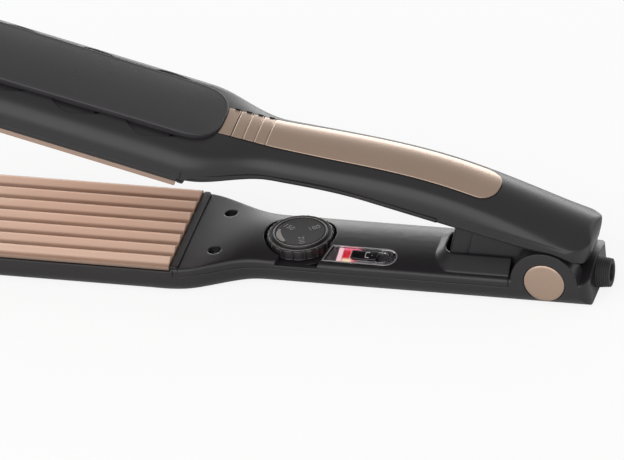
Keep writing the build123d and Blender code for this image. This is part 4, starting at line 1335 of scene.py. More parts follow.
@dataclass
class HeatingPlates:
    """The two ridged plates, their frames, heaters, clips and sensors."""

    shop: Workshop
    ridges: int = 7
    pitch: float = 7.2
    height: float = 2.15
    gap: float = 0.3
    thickness: float = 1.6
    edge: float = 0.35
    samples: int = 24
    crest_power: int = 20
    crest_excess: float = 0.05
    wall_drop: float = 0.2
    wall_depth: float = 0.4
    end_gap: float = 0.2
    chamfer: Triple = (0.3, 0.08, 0.0)
    chamfer_run: Triple = (0.0, 0.1, 0.3)
    border: Pair = (24.8, 25.0)
    bar: Bar = Bar(length=49.6, width=2.9, height=2.4, end_power=14.0, side_power=0.45)
    bar_inset: float = 1.3
    bar_gaps: Pair = (1.2, 0.22)
    lip: Bar = Bar(length=96.4, width=0.6, height=1.5, end_power=40.0, side_power=0.6)
    lip_y: float = 25.25
    lip_z: float = 14.25
    seam: float = 0.16
    seam_x: float = -25.35
    seam_y: float = 25.74
    lower_seam: Pair = (7.6, 10.1)
    upper_seam: Pair = (15.4, 18.2)

    @property
    def valley(self) -> float:
        """Distance of the valleys from the plane where the plates meet."""
        return (self.height + self.gap) / 2

    def profile(self, lower: bool) -> Array:
        """Section of a plate: a triangle wave t whose crests are rounded, 1.05 |t| - 0.05 |t|^20.

        Args:
            lower: Section of the lower plate, with a crest where the upper one has a valley.

        Returns:
            Rows of y and z for the face, its walls and the back.
        """
        half = self.ridges * self.pitch / 2
        y = np.linspace(-half, half, self.ridges * 2 * self.samples + 1)
        phase = (y + half) / self.pitch
        wave = 1 - 4 * np.abs(phase - np.floor(phase) - 0.5)
        wave = wave if lower else -wave
        steep = np.abs(wave)
        rounded = (1 + self.crest_excess) * steep - self.crest_excess * steep**self.crest_power
        depth = self.valley - self.height * (0.5 + 0.5 * np.sign(wave) * rounded)
        wall_z = np.minimum(depth + self.wall_drop, self.valley + self.wall_depth)
        back = np.full_like(y, self.valley + self.thickness)
        rows = [(y, depth), (y, wall_z), (y * (1 - self.edge / half), back)]
        sign = -1.0 if lower else 1.0
        section = np.stack([joined(*row) for row in rows])
        return section * [1.0, sign] + [0.0, SIZES.plate_mid_z]

    def plate(self, lower: bool) -> Piece:
        """Ridged plate: its section carried along x, with chamfered ends closed face to back."""
        top, wall, under = self.profile(lower)
        section = np.concatenate([top, wall[-1:], under[::-1], wall[:1]])
        down = np.sign(under[0, 1] - SIZES.plate_mid_z)
        inset, run = np.array(self.chamfer + self.chamfer[::-1]), np.array(self.chamfer_run)
        front, rear = SIZES.plate_front + self.end_gap, SIZES.plate_rear - self.end_gap
        x = np.concatenate([front + run, rear - run[::-1]])
        sideways = np.clip(section[:, 0] / self.border[1], -1, 1) ** 15
        lean = joined(sideways, 0.0)
        lean[: len(top), 1] = -down
        ring = section[None] - inset[:, None, None] * lean[None]
        points = joined(x[:, None], ring[..., 0], ring[..., 1])
        surface = Surface().grid(points, ends=False)
        count = len(top)
        for row in (points[0], points[-1]):
            face, back = row[:count], row[count + 1 : -1][::-1]
            surface.sheet(np.stack([face, back]))
            for wall_point, side in ((row[count], -1), (row[-1], 0)):
                corner = [face[side], wall_point, back[side]]
                surface.sheet(np.stack([corner, [corner[0], corner[2], corner[2]]]))
        side = "lower" if lower else "upper"
        arm = Arm[side.upper()]
        made = surface.piece(side + "_ridged_plate", arm, 30)
        self.mark_relief(made.data, arm)
        return made

    def mark_relief(self, mesh: bpy.types.Mesh, arm: Arm) -> None:
        """Writes how high each point lies from valley to crest, and -1 on the plate's sides."""
        closed = turned(places_of(mesh), arm, back=True)
        height = closed[:, 2] - SIZES.plate_mid_z
        depth = -height if arm is Arm.LOWER else height
        relief = (self.valley - depth) / self.height
        side_y, edge_y = self.border
        border = relief[np.abs(closed[:, 1]) > edge_y].max()
        on_side = (np.abs(closed[:, 1]) > side_y) & (relief < border - 0.05)
        relief = np.where(on_side, -1.0, relief)
        layer = mesh.attributes.new("relief", "FLOAT", "POINT")
        layer.data.foreach_set("value", relief.astype(np.float32))

    def bars(self, side: str) -> Piece:
        """Raised crests of an arm's two end bars; both arms' crests meet when the arms close."""
        surface = Surface()
        lower = side == "lower"
        for x in (SIZES.plate_front - self.bar_inset, SIZES.plate_rear + self.bar_inset):
            along, across, up = self.bar.grids()
            up = up - self.bar.height / 2
            level = up - self.bar_gaps[0] if lower else self.bar_gaps[1] - up
            surface.grid(joined(x + across, along, SIZES.plate_mid_z + level))
        return surface.piece(side + "_bar_crests", Arm[side.upper()])

    def lips(self) -> Piece:
        """Thin lips of the upper frame along both sides of the plate, under the shell's edge."""
        surface = Surface()
        for y in (-self.lip_y, self.lip_y):
            along, across, up = self.lip.grids()
            x = (SIZES.plate_front + SIZES.plate_rear) / 2 + along
            surface.grid(joined(x, y + across, self.lip_z + up))
        return surface.piece("upper_frame_lips", Arm.UPPER)

    def corner_seam_shadows(self, side: str, low: float, high: float) -> Piece:
        """Short upright lines of painted shadow on both flanks at the plate's rear corners."""
        surface = Surface()
        for y in (-self.seam_y, self.seam_y):
            path = np.array([[self.seam_x, y, z] for z in (low, (low + high) / 2, high)])
            surface.grid(tube(path, self.seam, (1.0, 0.0, 0.0)))
        return surface.piece(side + "_corner_seam_shadows", Arm[side.upper()])

    def build(self) -> None:
        """Makes both plates and dresses what lies behind them."""
        shop = self.shop
        arms = (("lower", Body.LOWER, self.lower_seam), ("upper", Body.UPPER, self.upper_seam))
        shop.mount(self.lips(), Slot.FRAME, Body.UPPER)
        for side, body, seam in arms:
            # Painted shadow in the seams at the plate's rear corners.
            seams = self.corner_seam_shadows(side, *seam)
            shop.mount(seams, Slot.FRAME, body, material=shop.shadow)
        for side, body, _ in arms:
            shop.mount(self.bars(side), Slot.FRAME, body)
            shop.mount(self.plate(side == "lower"), Slot.PLATE, body, side + "_plate")
            shop.polish(side + "_plate_frame", side + "_end_bars", 0.3, Slot.FRAME, body)
            shop.polish(side + "_heater", side + "_heater_bar", 0.25, Slot.CERAMIC, body)
            shop.polish(side + "_heater_clip", side + "_spring_clip", 0.12, Slot.SPRING, body)
            shop.keep(side + "_heater_leads", Slot.SLEEVE)
        shop.keep("thermistor", Slot.CERAMIC)
        shop.keep("thermal_fuse", Slot.CERAMIC)


@dataclass
class TopCover:
    """Smooth cover over the upper arm's plate region."""

    shop: Workshop
    front: float = -124.05
    rear: float = -17.3
    half: float = 16.4
    narrowing: float = 0.955
    narrow_at: float = -30.0
    end_power: float = 3.0
    base: float = 25.6
    edge: float = 2.5
    crown: float = 0.9
    lip: float = 0.45
    raise_by: float = 0.1
    end_points: int = 40
    side_points: int = 28

    def section(self) -> tuple[Array, Array]:
        """Radius and height from the middle of the underside, over the lip, to the crown.

        Over the lip the height is crown (1 - (r / half)^2).
        """
        top_edge, inner = self.base + self.edge, self.half - self.lip
        under = np.linspace(0.0, self.half - 0.5, 8)
        over = np.linspace(inner, 0.0, 26)
        turn = np.linspace(0, np.pi / 2, 6)
        lip_r = inner + self.lip * np.cos(turn)
        lip_z = top_edge - self.lip + self.lip * np.sin(turn) + self.raise_by
        dome = top_edge + self.raise_by + self.crown * (1 - (over / inner) ** 2)
        radius = np.concatenate([under, [self.half - 0.1, self.half], lip_r, over[1:]])
        wall = [self.base + 0.1, self.base + 0.5]
        height = np.concatenate([np.full(8, self.base), wall, lip_z, dome[1:] - self.raise_by])
        return radius, height

    def build(self) -> None:
        """Carries the section round a spine with two ends.

        The rear end is |x|^3 + |y|^3 = r^3 and the front end a half circle.
        """
        radius, height = self.section()
        front, rear = self.front + self.half, self.rear - self.half
        turn = np.linspace(-np.pi / 2, np.pi / 2, self.end_points)
        side = np.linspace(0, 1, self.side_points + 2)[1:-1]
        spine = np.concatenate(
            [
                np.full(self.end_points, rear), rear + (front - rear) * side,
                np.full(self.end_points, front), front + (rear - front) * side,
            ]
        )
        power = 2 / self.end_power
        straight, flat = np.ones(self.side_points), np.zeros(self.side_points)
        reach = np.concatenate([bent(np.cos(turn), power), flat, -np.cos(turn), flat])
        across = np.concatenate([bent(np.sin(turn), power), straight, -np.sin(turn), -straight])
        x = spine[None] + radius[:, None] * reach[None]
        y = radius[:, None] * across[None]
        y = y * ease(1.0, self.narrowing, x, front, self.narrow_at)
        surface = Surface().grid(joined(x, y, height[:, None]), ends=False)
        cover = surface.piece("top_cover_skin", Arm.UPPER)
        self.shop.mount(cover, Slot.COVER, Body.UPPER, "top_cover")


@dataclass
class GripInlay:
    """Champagne inlay on the back of the handle, with cross grooves at its front."""

    shop: Workshop
    half: float = 9.2
    front_half: float = 8.3
    widening: Pair = (-10.0, 30.0)
    rear: float = 84.4
    rear_length: float = 8.0
    rear_power: float = 2.4
    proud: float = 0.35
    thickness: float = 1.7
    lip: float = 0.45
    lip_share: float = 0.045
    grooves: int = 4
    pitch: float = 4.2
    groove: float = 0.45
    depth: float = 0.3
    slope_length: float = 2.6
    slope_depth: float = 0.35
    first: float = -12.9
    cover_centre: float = -33.7
    cover_radius: float = 16.75
    cover_power: float = 3.0
    columns: int = 41
    gap: float = 0.24
    gap_proud: float = 0.08
    dash: float = 0.4
    dash_run: Pair = (-2.4, -0.5)
    highlight_wire: float = 0.17

    def centres(self) -> list[float]:
        """Stations of the grooves."""
        return [self.first + self.pitch * count for count in range(self.grooves)]

    def face(self) -> tuple[Array, Array]:
        """Grids of the inlay's face and underside over the crowned back.

        The front follows the cover's round end and the rear is a superellipse. A groove at c has
        the depth 1 / (1 + (|x - c| / w)^6), or behind it the slope 0.35 (1 - t)^2.
        """
        t = np.concatenate([np.linspace(0, 0.2, 340)[:-1], np.linspace(0.2, 1, 220)])[:, None]
        s = np.sin(np.linspace(-np.pi / 2, np.pi / 2, self.columns))[None]
        share = np.abs(self.front_half * s / self.cover_radius) ** self.cover_power
        start = self.cover_centre + self.cover_radius * (1 - share) ** (1 / self.cover_power)
        x = start + (self.rear - start) * t
        end = np.clip((x - (self.rear - self.rear_length)) / self.rear_length, 0, 1)
        full = ease(self.front_half, self.half, x, *self.widening)
        y = full * (1 - 0.999 * end**self.rear_power) ** (1 / self.rear_power) * s
        wave = np.zeros_like(x)
        for centre in self.centres():
            behind = np.clip((x - centre) / self.slope_length, 0, 1)
            soft = np.where(x > centre, (1 - behind) ** 2, 0) * self.slope_depth
            wave = wave + np.maximum(1 / (1 + (np.abs(x - centre) / (self.groove / 2)) ** 6), soft)
        rim = np.clip(np.abs(s) - (1 - self.lip_share), 0, 1) ** 2 / self.lip_share**2
        lip = self.lip * (1 - np.sqrt(np.clip(1 - rim, 0, 1))) * np.ones_like(x)
        z = SIZES.upper_back(x, y, self.proud) - self.depth * wave - lip
        under_z = SIZES.upper_back(x, y, self.proud - self.thickness)
        return joined(x, y, z), joined(x, y * 0.985, under_z)

    def gap_shadow(self, face: Array) -> Piece:
        """Painted shadow along the inlay's edge, and a painted shadow dash before each groove on its
        far side.

        Args:
            face: Grid of the inlay's face.

        Returns:
            The new object.
        """
        edge = np.concatenate([face[::4, 0], face[-1:, self.columns // 2], face[::-4, -1]])
        edge[:, 2] = SIZES.upper_back(edge[:, 0], edge[:, 1], self.gap_proud)
        edge[:, 0] += 0.2 * (edge[:, 0] > self.rear - 1)
        surface = Surface().grid(tube(edge, self.gap))
        side = np.full(6, self.front_half - 0.15)
        for centre in self.centres():
            x = np.linspace(centre + self.dash_run[0], centre + self.dash_run[1], 6)
            path = joined(x, side, SIZES.upper_back(x, side, self.proud + 0.02))
            surface.grid(tube(path, self.dash))
        return surface.piece("inlay_gap_shadow", Arm.UPPER)

    def groove_highlights(self) -> Piece:
        """Painted highlight: a bright line along the rear edge of each groove."""
        lines = Surface()
        across = np.linspace(0.1 - self.front_half, self.front_half - 0.5, 40)
        for centre in self.centres():
            x = np.full(40, centre + 0.42)
            path = joined(x, across, SIZES.upper_back(x, across, self.proud - 0.1))
            lines.grid(tube(path, self.highlight_wire))
        return lines.piece("groove_edge_highlights", Arm.UPPER)

    def build(self) -> None:
        """Makes the inlay, with its ends closed, and the painted highlight and shadow lines on it.
        """
        face, under = self.face()
        surface = Surface().grid(np.concatenate([face, under[:, ::-1]], axis=1), ends=False)
        for row in (0, -1):
            surface.sheet(np.stack([face[row], under[row]]))
        inlay = surface.piece("grip_inlay_skin", Arm.UPPER, 42)
        self.shop.mount(inlay, Slot.CHAMPAGNE, Body.UPPER, "grip_inlay")
        # Painted highlight along the grooves' rear edges, in a lighter champagne.
        bright = Champagne("champagne_highlight", srgb(236, 216, 200), roughness=0.4).material()
        gap, lines = self.gap_shadow(face), self.groove_highlights()
        self.shop.mount(lines, Slot.CHAMPAGNE, Body.UPPER, material=bright)
        # Painted shadow round the inlay and before its grooves.
        self.shop.mount(gap, Slot.BLACK, Body.UPPER, material=self.shop.shadow)


@dataclass
class TemperatureDial:
    """Round thumb wheel with ribs, painted highlight rings and plain numbers."""

    shop: Workshop
    radius: float = 12.3
    base: float = 9.3
    top: float = 13.2
    ring: float = 9.0
    ring_width: float = 1.0
    ring_height: float = 0.6
    ribs: int = 16
    rib_points: int = 24
    rib_width: float = 0.065
    rib_height: float = 0.65
    swell_height: float = 0.4
    shaft_radius: float = 2.0
    shaft_foot: float = 5.0
    marker_radius: float = 7.75
    marker_start: float = 176.0
    marker_angle: float = 62.0
    marker_rise: float = 0.16
    numbers: tuple[str, ...] = ("150", "180", "210")
    number_spokes: Triple = (152.0, 36.0, -72.0)
    number_turns: Triple = (-28.0, 36.0, -72.0)
    number_radius: float = 5.4
    number_size: float = 3.1
    number_depth: float = 0.03

    @property
    def face_top(self) -> float:
        """Height of the raised ring and of the face within it."""
        return self.top + self.ring_height

    def lathe(
        self, profile: Array, name: str, sides: int, sharp: float = 32.0,
        scale: Array | None = None,
    ) -> Piece:
        """Turns a profile about the dial's axis.

        Args:
            profile: Rows of radius and height.
            name: Name of the piece.
            sides: Number of points round the axis.
            sharp: Angle in degrees above which an edge stays sharp.
            scale: Factor on the radius, per row and side.

        Returns:
            The new object.
        """
        points = revolved(profile, sides, scale)
        points[..., 0] += SIZES.dial_x
        return Surface().grid(points).piece(name, Arm.LOWER, sharp)

    def wheel(self) -> Piece:
        """Revolved wheel with narrow ribs and a swell between them.

        With p the distance from a rib in parts of their pitch, its rim's radius changes by
        0.65 exp(-(p / 0.065)^4) + 0.4 sin(pi p)^2 - 0.65.
        """
        radius, base, top = self.radius, self.base, self.top
        inner = self.ring + self.ring_width
        profile = np.concatenate(
            [
                [[2.0, base], [6.0, base]],
                arc((radius - 0.4, base + 0.4), 0.4, -90, 0, 5),
                [[radius, base + 1.0], [radius, top - 1.2]],
                arc((radius - 0.7, top - 0.7), 0.7, 0, 90, 7),
                [[inner + 0.8, top + 0.02], [inner + 0.35, top - 0.25], [inner, top - 0.25]],
                arc((inner - 0.5, self.face_top - 0.5), 0.5, 0, 180, 13),
                [[self.ring, top + 0.05], [self.ring - 0.3, top]],
            ]
        )
        sides = self.ribs * self.rib_points
        phase = np.arange(sides) / self.rib_points
        offset = np.abs(phase - np.round(phase))
        rib = np.exp(-((offset / self.rib_width) ** 4))
        swell = np.cos(np.pi * (phase - np.floor(phase) - 0.5)) ** 2
        relief = self.rib_height * rib + self.swell_height * swell - self.rib_height
        reach = np.clip((profile[:, :1] - (inner + 0.4)) / (radius - inner - 0.8), 0, 1)
        reach = reach * np.where(profile[:, 1:] > base + 0.3, 1.0, 0.4)
        return self.lathe(profile, "thumb_wheel", sides, 36, 1 + reach * relief[None] / radius)

    def shaft(self) -> Piece:
        """Round shaft under the wheel."""
        foot, r = self.shaft_foot, self.shaft_radius
        profile = [[r - 0.3, foot], [r, foot + 0.3], [r, self.base], [r - 0.1, self.base + 0.1]]
        return self.lathe(np.array(profile), "dial_shaft", 32)

    def face(self) -> Piece:
        """Face disc with a rounded rim, raised a hair towards its middle."""
        r = self.ring - 0.06
        height = self.face_top - 0.12
        rim = arc((r - 0.25, height - 0.25), 0.25, 0, 90, 5)
        middle = [[r - 1.2, height - 0.04], [0.6, height + 0.02]]
        return self.lathe(np.concatenate([[[r, self.top]], rim, middle]), "dial_disc", 96)

    def marker(self) -> Piece:
        """Raised crescent along the disc's rim, widest near its middle."""
        t = np.linspace(0, 1, 40)[:, None]
        angle = np.radians(self.marker_start + self.marker_angle * t)
        half = 0.25 + 0.75 * np.sin(np.pi * (0.12 + 0.8 * (1 - t)))
        around = whole_turn(16)[None]
        radius = self.marker_radius + half * np.cos(around)
        height = self.face_top - 0.1 + self.marker_rise * np.sin(around)
        x, y = SIZES.dial_x + radius * np.cos(angle), radius * np.sin(angle)
        return Surface().grid(joined(x, y, height)).piece("dial_marker")

    def ring_highlights(self) -> Piece:
        """Painted highlights: a thin bright line round the disc and another round the wheel's top
        edge.
        """
        turn = np.linspace(0, 2 * np.pi, 97)
        circles = (
            (self.ring + 0.45, self.face_top, 0.13),
            (self.radius - 1.0, self.top + 0.02, 0.1),
        )
        surface = Surface()
        for radius, height, wire in circles:
            x, y = SIZES.dial_x + radius * np.cos(turn), radius * np.sin(turn)
            surface.grid(tube(joined(x, y, height), wire), ends=False)
        return surface.piece("dial_ring_lines")

    def figure(self, number: str, spoke: float, reading: float) -> bpy.types.Mesh:
        """Mesh of one plain number.

        Args:
            number: What it says.
            spoke: Angle of its place round the dial, in degrees.
            reading: Angle that it is turned by, in degrees.

        Returns:
            The mesh, in its place.
        """
        curve = bpy.data.curves.new("number_" + number, "FONT")
        curve.body = number
        curve.size = self.number_size * MM
        curve.extrude = self.number_depth * MM
        curve.align_x = "CENTER"
        curve.align_y = "CENTER"
        text = bpy.data.objects.new("number_" + number, curve)
        bpy.context.scene.collection.objects.link(text)
        shown = text.evaluated_get(bpy.context.evaluated_depsgraph_get())
        mesh = bpy.data.meshes.new_from_object(shown)
        bpy.data.objects.remove(text)
        angle = math.radians(spoke)
        x = SIZES.dial_x + self.number_radius * math.cos(angle)
        y = self.number_radius * math.sin(angle)
        place = Matrix.Translation(Vector((x, y, self.face_top - 0.09)) * MM)
        mesh.transform(place @ Matrix.Rotation(math.radians(reading), 4, "Z"))
        return mesh

    def figures(self) -> Piece:
        """Plain numbers, printed along three spokes of the disc."""
        work = bmesh.new()
        for number in zip(self.numbers, self.number_spokes, self.number_turns):
            work.from_mesh(self.figure(*number))
        joined = bpy.data.meshes.new("dial_numbers")
        work.to_mesh(joined)
        work.free()
        return finished("dial_numbers", joined, 30)

    def build(self) -> None:
        """Makes the wheel, its disc, marker, painted highlight lines and numbers."""
        print_light = MouldedPlastic(
            "dial_print", srgb(138, 134, 136), 0.45, grain=0.2, grain_depth=0.004
        ).material()
        marker_and_highlight_grey = MouldedPlastic(
            "dial_marker_and_highlight_grey", srgb(138, 133, 130), 0.4, grain=0.25, grain_depth=0.006
        ).material()
        shop = self.shop
        shop.mount(self.wheel(), Slot.DIAL, Body.DIAL, "temperature_dial")
        shop.mount(self.shaft(), Slot.DIAL, Body.DIAL)
        shop.mount(self.face(), Slot.DIAL, Body.DIAL, "dial_face")
        shop.mount(self.marker(), Slot.DIAL, Body.DIAL, material=marker_and_highlight_grey)
        # Painted highlight lines round the disc and the wheel's top edge, in the marker's grey.
        shop.mount(self.ring_highlights(), Slot.DIAL, Body.DIAL, material=marker_and_highlight_grey)
        shop.mount(self.figures(), Slot.DIAL, Body.DIAL, material=print_light)


@dataclass
class SwitchWindow:
    """Clear window on the near shoulder, its lit tray and the slide switch."""

    shop: Workshop
    start: float = 26.95
    offset: float = 9.3
    height: float = 12.017
    tilt: float = 12.0
    length: float = 26.6
    width: float = 7.9
    slant: float = 2.4
    pane_walls: tuple[Pair, ...] = ((0.1, -1.2), (0.0, -1.1), (0.0, -0.15), (0.15, 0.0))
    slot_walls: tuple[Pair, ...] = ((0.1, 0.0), (0.0, -0.1), (0.0, -1.1), (0.1, -1.2))
    tray_walls: tuple[Pair, ...] = ((0.25, -2.3), (0.25, -1.35), (0.8, -1.35), (2.4, -1.4))
    rim_wire: float = 0.2
    slot_start: float = 9.7
    slot_length: float = 13.1
    slot_width: float = 4.8
    slot_power: float = 0.25
    slider_start: float = 10.0
    slider_length: float = 9.5
    slider_width: float = 4.2
    slider_half_height: float = 1.15
    slider_middle: float = -0.45
    slider_power: float = 0.3
    hollow: float = 0.3
    stem_heights: Triple = (6.4, 6.6, 10.9)
    mark_wire: float = 0.13
    dot_wire: float = 0.14
    dots: Pair = (7.6, 8.5)

    @property
    def upright(self) -> Triple:
        """Direction square to the window."""
        lean = math.radians(self.tilt)
        return (0.0, -math.sin(lean), math.cos(lean))

    def placed(self, x: Array, y: Array | float, z: Array | float) -> Array:
        """Points from the window's own plane, which leans to the near side by the tilt."""
        lean = math.radians(self.tilt)
        across = -self.offset + y * math.cos(lean) - z * math.sin(lean)
        up = self.height + y * math.sin(lean) + z * math.cos(lean)
        return joined(self.start + x, across, up)

    def level(self, loop: Array, z: float) -> Array:
        """Points of a loop at one height over the window's plane."""
        return self.placed(loop[:, 0], loop[:, 1], z)

    def outline(self, inset: float, steps: int = 160) -> Array:
        """Closed outline with equal steps: slanted at the dial, a half circle at the far end."""
        half = self.width / 2 - inset
        end = self.length - self.width / 2
        slope = self.slant / self.width
        left_low, left_high = inset * (1.0 - slope), self.slant + inset * (1.0 + slope)
        first = [[left_low, -half]]
        bend = arc((end, 0.0), half, -90, 90, 24)
        corners = np.concatenate([first, bend, [[left_high - 0.2, half]], first])
        lengths = np.linalg.norm(np.diff(corners, axis=0), axis=1)
        run = np.concatenate([[0], np.cumsum(lengths)])
        even = np.linspace(0, run[-1], steps, endpoint=False)
        return np.stack([np.interp(even, run, corners[:, k]) for k in (0, 1)], axis=-1)

    def slot(self, grow: float, steps: int = 160) -> Array:
        """Rounded rectangle round the slot, with as many points as the outline."""
        angle = whole_turn(steps) - np.pi * 0.8
        x = bent(np.cos(angle), self.slot_power) * (self.slot_length / 2 + grow)
        y = bent(np.sin(angle), self.slot_power) * (self.slot_width / 2 + grow)
        return joined(x + self.slot_start + self.slot_length / 2, y)

    def pane(self) -> Piece:
        """Clear pane as a ring of loops: outer wall, top face, slot wall and under face."""
        rows = [self.level(self.outline(inset), z) for inset, z in self.pane_walls]
        rows += [self.level(self.slot(grow), z) for grow, z in self.slot_walls]
        return Surface().grid(np.stack([*rows, rows[0]]), ends=False).piece("window_pane")

    def rim(self) -> Piece:
        """Fine bead round the window."""
        path = self.level(self.outline(0.05, 240), 0.02)
        closed = np.concatenate([path[-2:], path, path[:2]])
        ring = tube(closed, self.rim_wire, self.upright)[2:-2]
        grid = np.concatenate([ring, ring[:1]])
        return Surface().grid(grid, ends=False).piece("window_rim")

    def tray(self) -> Piece:
        """Tray under the pane, with its plan in a UV map."""
        rows = [self.level(self.outline(inset), z) for inset, z in self.tray_walls]
        made = Surface().grid(np.stack(rows)).piece("window_tray")
        mesh = made.data
        places = places_of(mesh)
        along = (places[:, 0] - self.start) / self.length
        across = (places[:, 1] + self.offset) / math.cos(math.radians(self.tilt))
        plan = joined(along, across / self.width + 0.5)
        corners = np.zeros(len(mesh.loops), dtype=np.int32)
        mesh.loops.foreach_get("vertex_index", corners)
        layer = mesh.uv_layers.new(name="plan")
        layer.data.foreach_set("uv", plan[corners].astype(np.float32).ravel())
        return made

    def button(self) -> Piece:
        """Slider: a rounded block whose top is a little hollow for the finger.

        With u from -1 to 1 along it, its width is scaled by (1 - |u|^10)^0.1, and the hollow is
        0.3 (1 - (|u| / 0.85)^2).
        """
        u = np.linspace(-1, 1, 80)[:, None]
        angle = whole_turn(66)[None]
        half_y = self.slider_width / 2 * (1 - np.abs(u) ** 10) ** 0.1
        y = bent(np.cos(angle), self.slider_power) * half_y
        z = bent(np.sin(angle), self.slider_power) * self.slider_half_height * np.ones_like(u)
        x = self.slider_start + self.slider_length / 2 * (1 + u) * np.ones_like(y)
        hollow = self.hollow * (1 - np.clip(np.abs(u) / 0.85, 0, 1) ** 2)
        z = self.slider_middle + z - np.where(z > 0.2, hollow, 0.0)
        return Surface().grid(self.placed(x, y, z)).piece("slider_grip", Arm.LOWER, 50)

    def stem(self) -> Piece:
        """Square stem from the slider into the switch, narrower at its foot."""
        middle = self.start + self.slider_start + self.slider_length / 2
        corners = np.array([[-1, -1], [1, -1], [1, 1], [-1, 1]], float)
        scale = np.array([0.85, 1.0, 1.0])[:, None, None]
        plan = corners[None] * scale + np.array([middle, -self.offset])
        grid = joined(plan[..., 0], plan[..., 1], np.array(self.stem_heights)[:, None])
        return Surface().grid(grid).piece("slider_stem")

    def mark(self) -> Piece:
        """Light bracket mark across the slider and two dots behind it."""
        bracket = np.array(
            [[6.6, 1.25], [5.5, 1.25], [5.2, 0.95], [5.2, -0.95], [5.5, -1.25], [6.6, -1.25]]
        )
        line = self.level(bracket + [self.slider_start, 0.0], 0.45)
        surface = Surface().grid(tube(line, self.mark_wire, self.upright))
        for place in self.dots:
            x = self.slider_start + place + np.array([-0.16, 0.16])
            surface.grid(tube(self.placed(x, 0.0, 0.5), self.dot_wire, self.upright))
        return surface.piece("slider_mark")

    def build(self) -> None:
        """Makes the window and the switch."""
        shop = self.shop
        glow = GlowTray("window_glow", srgb(52, 49, 51), self.length, self.width).material()
        rim = MouldedPlastic(
            "window_rim_grey", srgb(128, 124, 126), 0.25, grain=0.2, grain_depth=0.003
        ).material()
        print_light = MouldedPlastic(
            "switch_print", srgb(190, 186, 186), 0.4, grain=0.2, grain_depth=0.003
        ).material()
        shop.mount(self.pane(), Slot.CLEAR, Body.LOWER, "switch_window")
        shop.mount(self.rim(), Slot.CLEAR, Body.LOWER, material=rim)
        shop.mount(self.tray(), Slot.CLEAR, Body.LOWER, material=glow)
        shop.mount(self.button(), Slot.GLOSS, Body.BUTTON, "switch_button")
        shop.mount(self.stem(), Slot.GLOSS, Body.BUTTON)
        shop.mount(self.mark(), Slot.GLOSS, Body.BUTTON, material=print_light)


@dataclass
class Hinge:
    """Pin, washers, opening spring and the two champagne caps."""

    shop: Workshop
    cap_radius: float = 7.5
    cap_out: float = 15.95
    cap_in: float = 13.2
    cap_dome: float = 0.32
    arm_corner: float = 6.5
    arm_flat: float = 9.45
    corner_z: float = 6.0
    coil_radius: float = 3.6
    wire: float = 0.6
    turns: int = 6
    coil_half: float = 3.3
    low_leg: Triple = (-15.0, 0.0, -3.8)
    high_leg: float = 8.0

    def cap(self, side: float, name: str) -> Piece:
        """Domed cap with a rounded rim, turned about the hinge's axis.

        Its face is kept inside the arm's rounded bottom corner, an arc of 6.5 mm.

        Args:
            side: -1 for the near side and 1 for the far side.
            name: Name of the piece.

        Returns:
            The new object.
        """
        r = self.cap_radius
        rim = arc((r - 0.45, self.cap_out - 0.85), 0.45, 0, 70, 7)
        dome_r = np.linspace(r - 0.8, 0.3, 12)
        dome_y = self.cap_out - self.cap_dome * (dome_r / r) ** 2 - 0.02
        foot = [[r - 0.6, self.cap_in], [r, self.cap_in + 0.2]]
        grid = revolved(np.concatenate([foot, rim, joined(dome_r, dome_y)]), 96)
        z = SIZES.hinge_z + grid[..., 1]
        under = np.clip(self.corner_z - z, 0, self.arm_corner)
        corner = self.arm_flat + np.sqrt(self.arm_corner**2 - under**2)
        y = side * np.minimum(grid[..., 2], corner)
        return Surface().grid(joined(SIZES.hinge_x + grid[..., 0], y, z)).piece(name)

    def spring(self) -> Piece:
        """Coil wound round the pin, with a leg on each arm."""
        t = np.linspace(0, 1, 420)
        lift = math.radians(Arm.UPPER.value)
        start, end = -np.pi / 2, 2 * np.pi * self.turns + np.pi / 2 + lift
        angle = start + (end - start) * t
        x = SIZES.hinge_x + self.coil_radius * np.cos(angle)
        y = self.coil_half - 2 * self.coil_half * t
        z = SIZES.hinge_z + self.coil_radius * np.sin(angle)
        coil = joined(x, y, z)
        run = np.linspace(1, 0, 30)[:-1, None]
        low = coil[0] + np.array(self.low_leg) * run
        back = np.array([-math.cos(lift / 2), 0.0, math.sin(lift / 2)]) * self.high_leg
        path = np.concatenate([low, coil, coil[-1] + back * run[::-1]])
        return Surface().grid(tube(path, self.wire, (0.0, 1.0, 0.0), 12)).piece("wound_spring")

    def build(self) -> None:
        """Makes the hinge's pieces."""
        shop = self.shop
        shop.mount(self.cap(-1.0, "cap_near"), Slot.CHAMPAGNE, Body.LOWER, "hinge_cap_near")
        shop.mount(self.cap(1.0, "cap_far"), Slot.CHAMPAGNE, Body.LOWER, "hinge_cap_far")
        shop.mount(self.spring(), Slot.SPRING, Body.LOWER, "hinge_spring")
        shop.polish("hinge_pin", "steel_pin", 0.3, Slot.SCREW, Body.LOWER)
        shop.keep("hinge_washers", Slot.COMPONENT)


@dataclass
class InnerParts:
    """Board, potentiometer, switch body, light and the screws."""

    shop: Workshop

    def build(self) -> None:
        """Copies the CAD nodes, most of them with rounded edges."""
        shop = self.shop
        shop.polish("control_board", "circuit_board", 0.1, Slot.BOARD, Body.LOWER)
        shop.polish("slide_switch", "switch_body", 0.15, Slot.COMPONENT, Body.LOWER)
        shop.keep("temperature_pot", Slot.COMPONENT)
        light = copy_of("indicator_led", "red_light", False)
        shop.mount(light, Slot.RED, Body.LOWER, "indicator_led")
        for node, body in (("lower_cover_screws", Body.LOWER), ("upper_cover_screws", Body.UPPER)):
            shop.polish(node, node + "_plated", 0.12, Slot.SCREW, body)


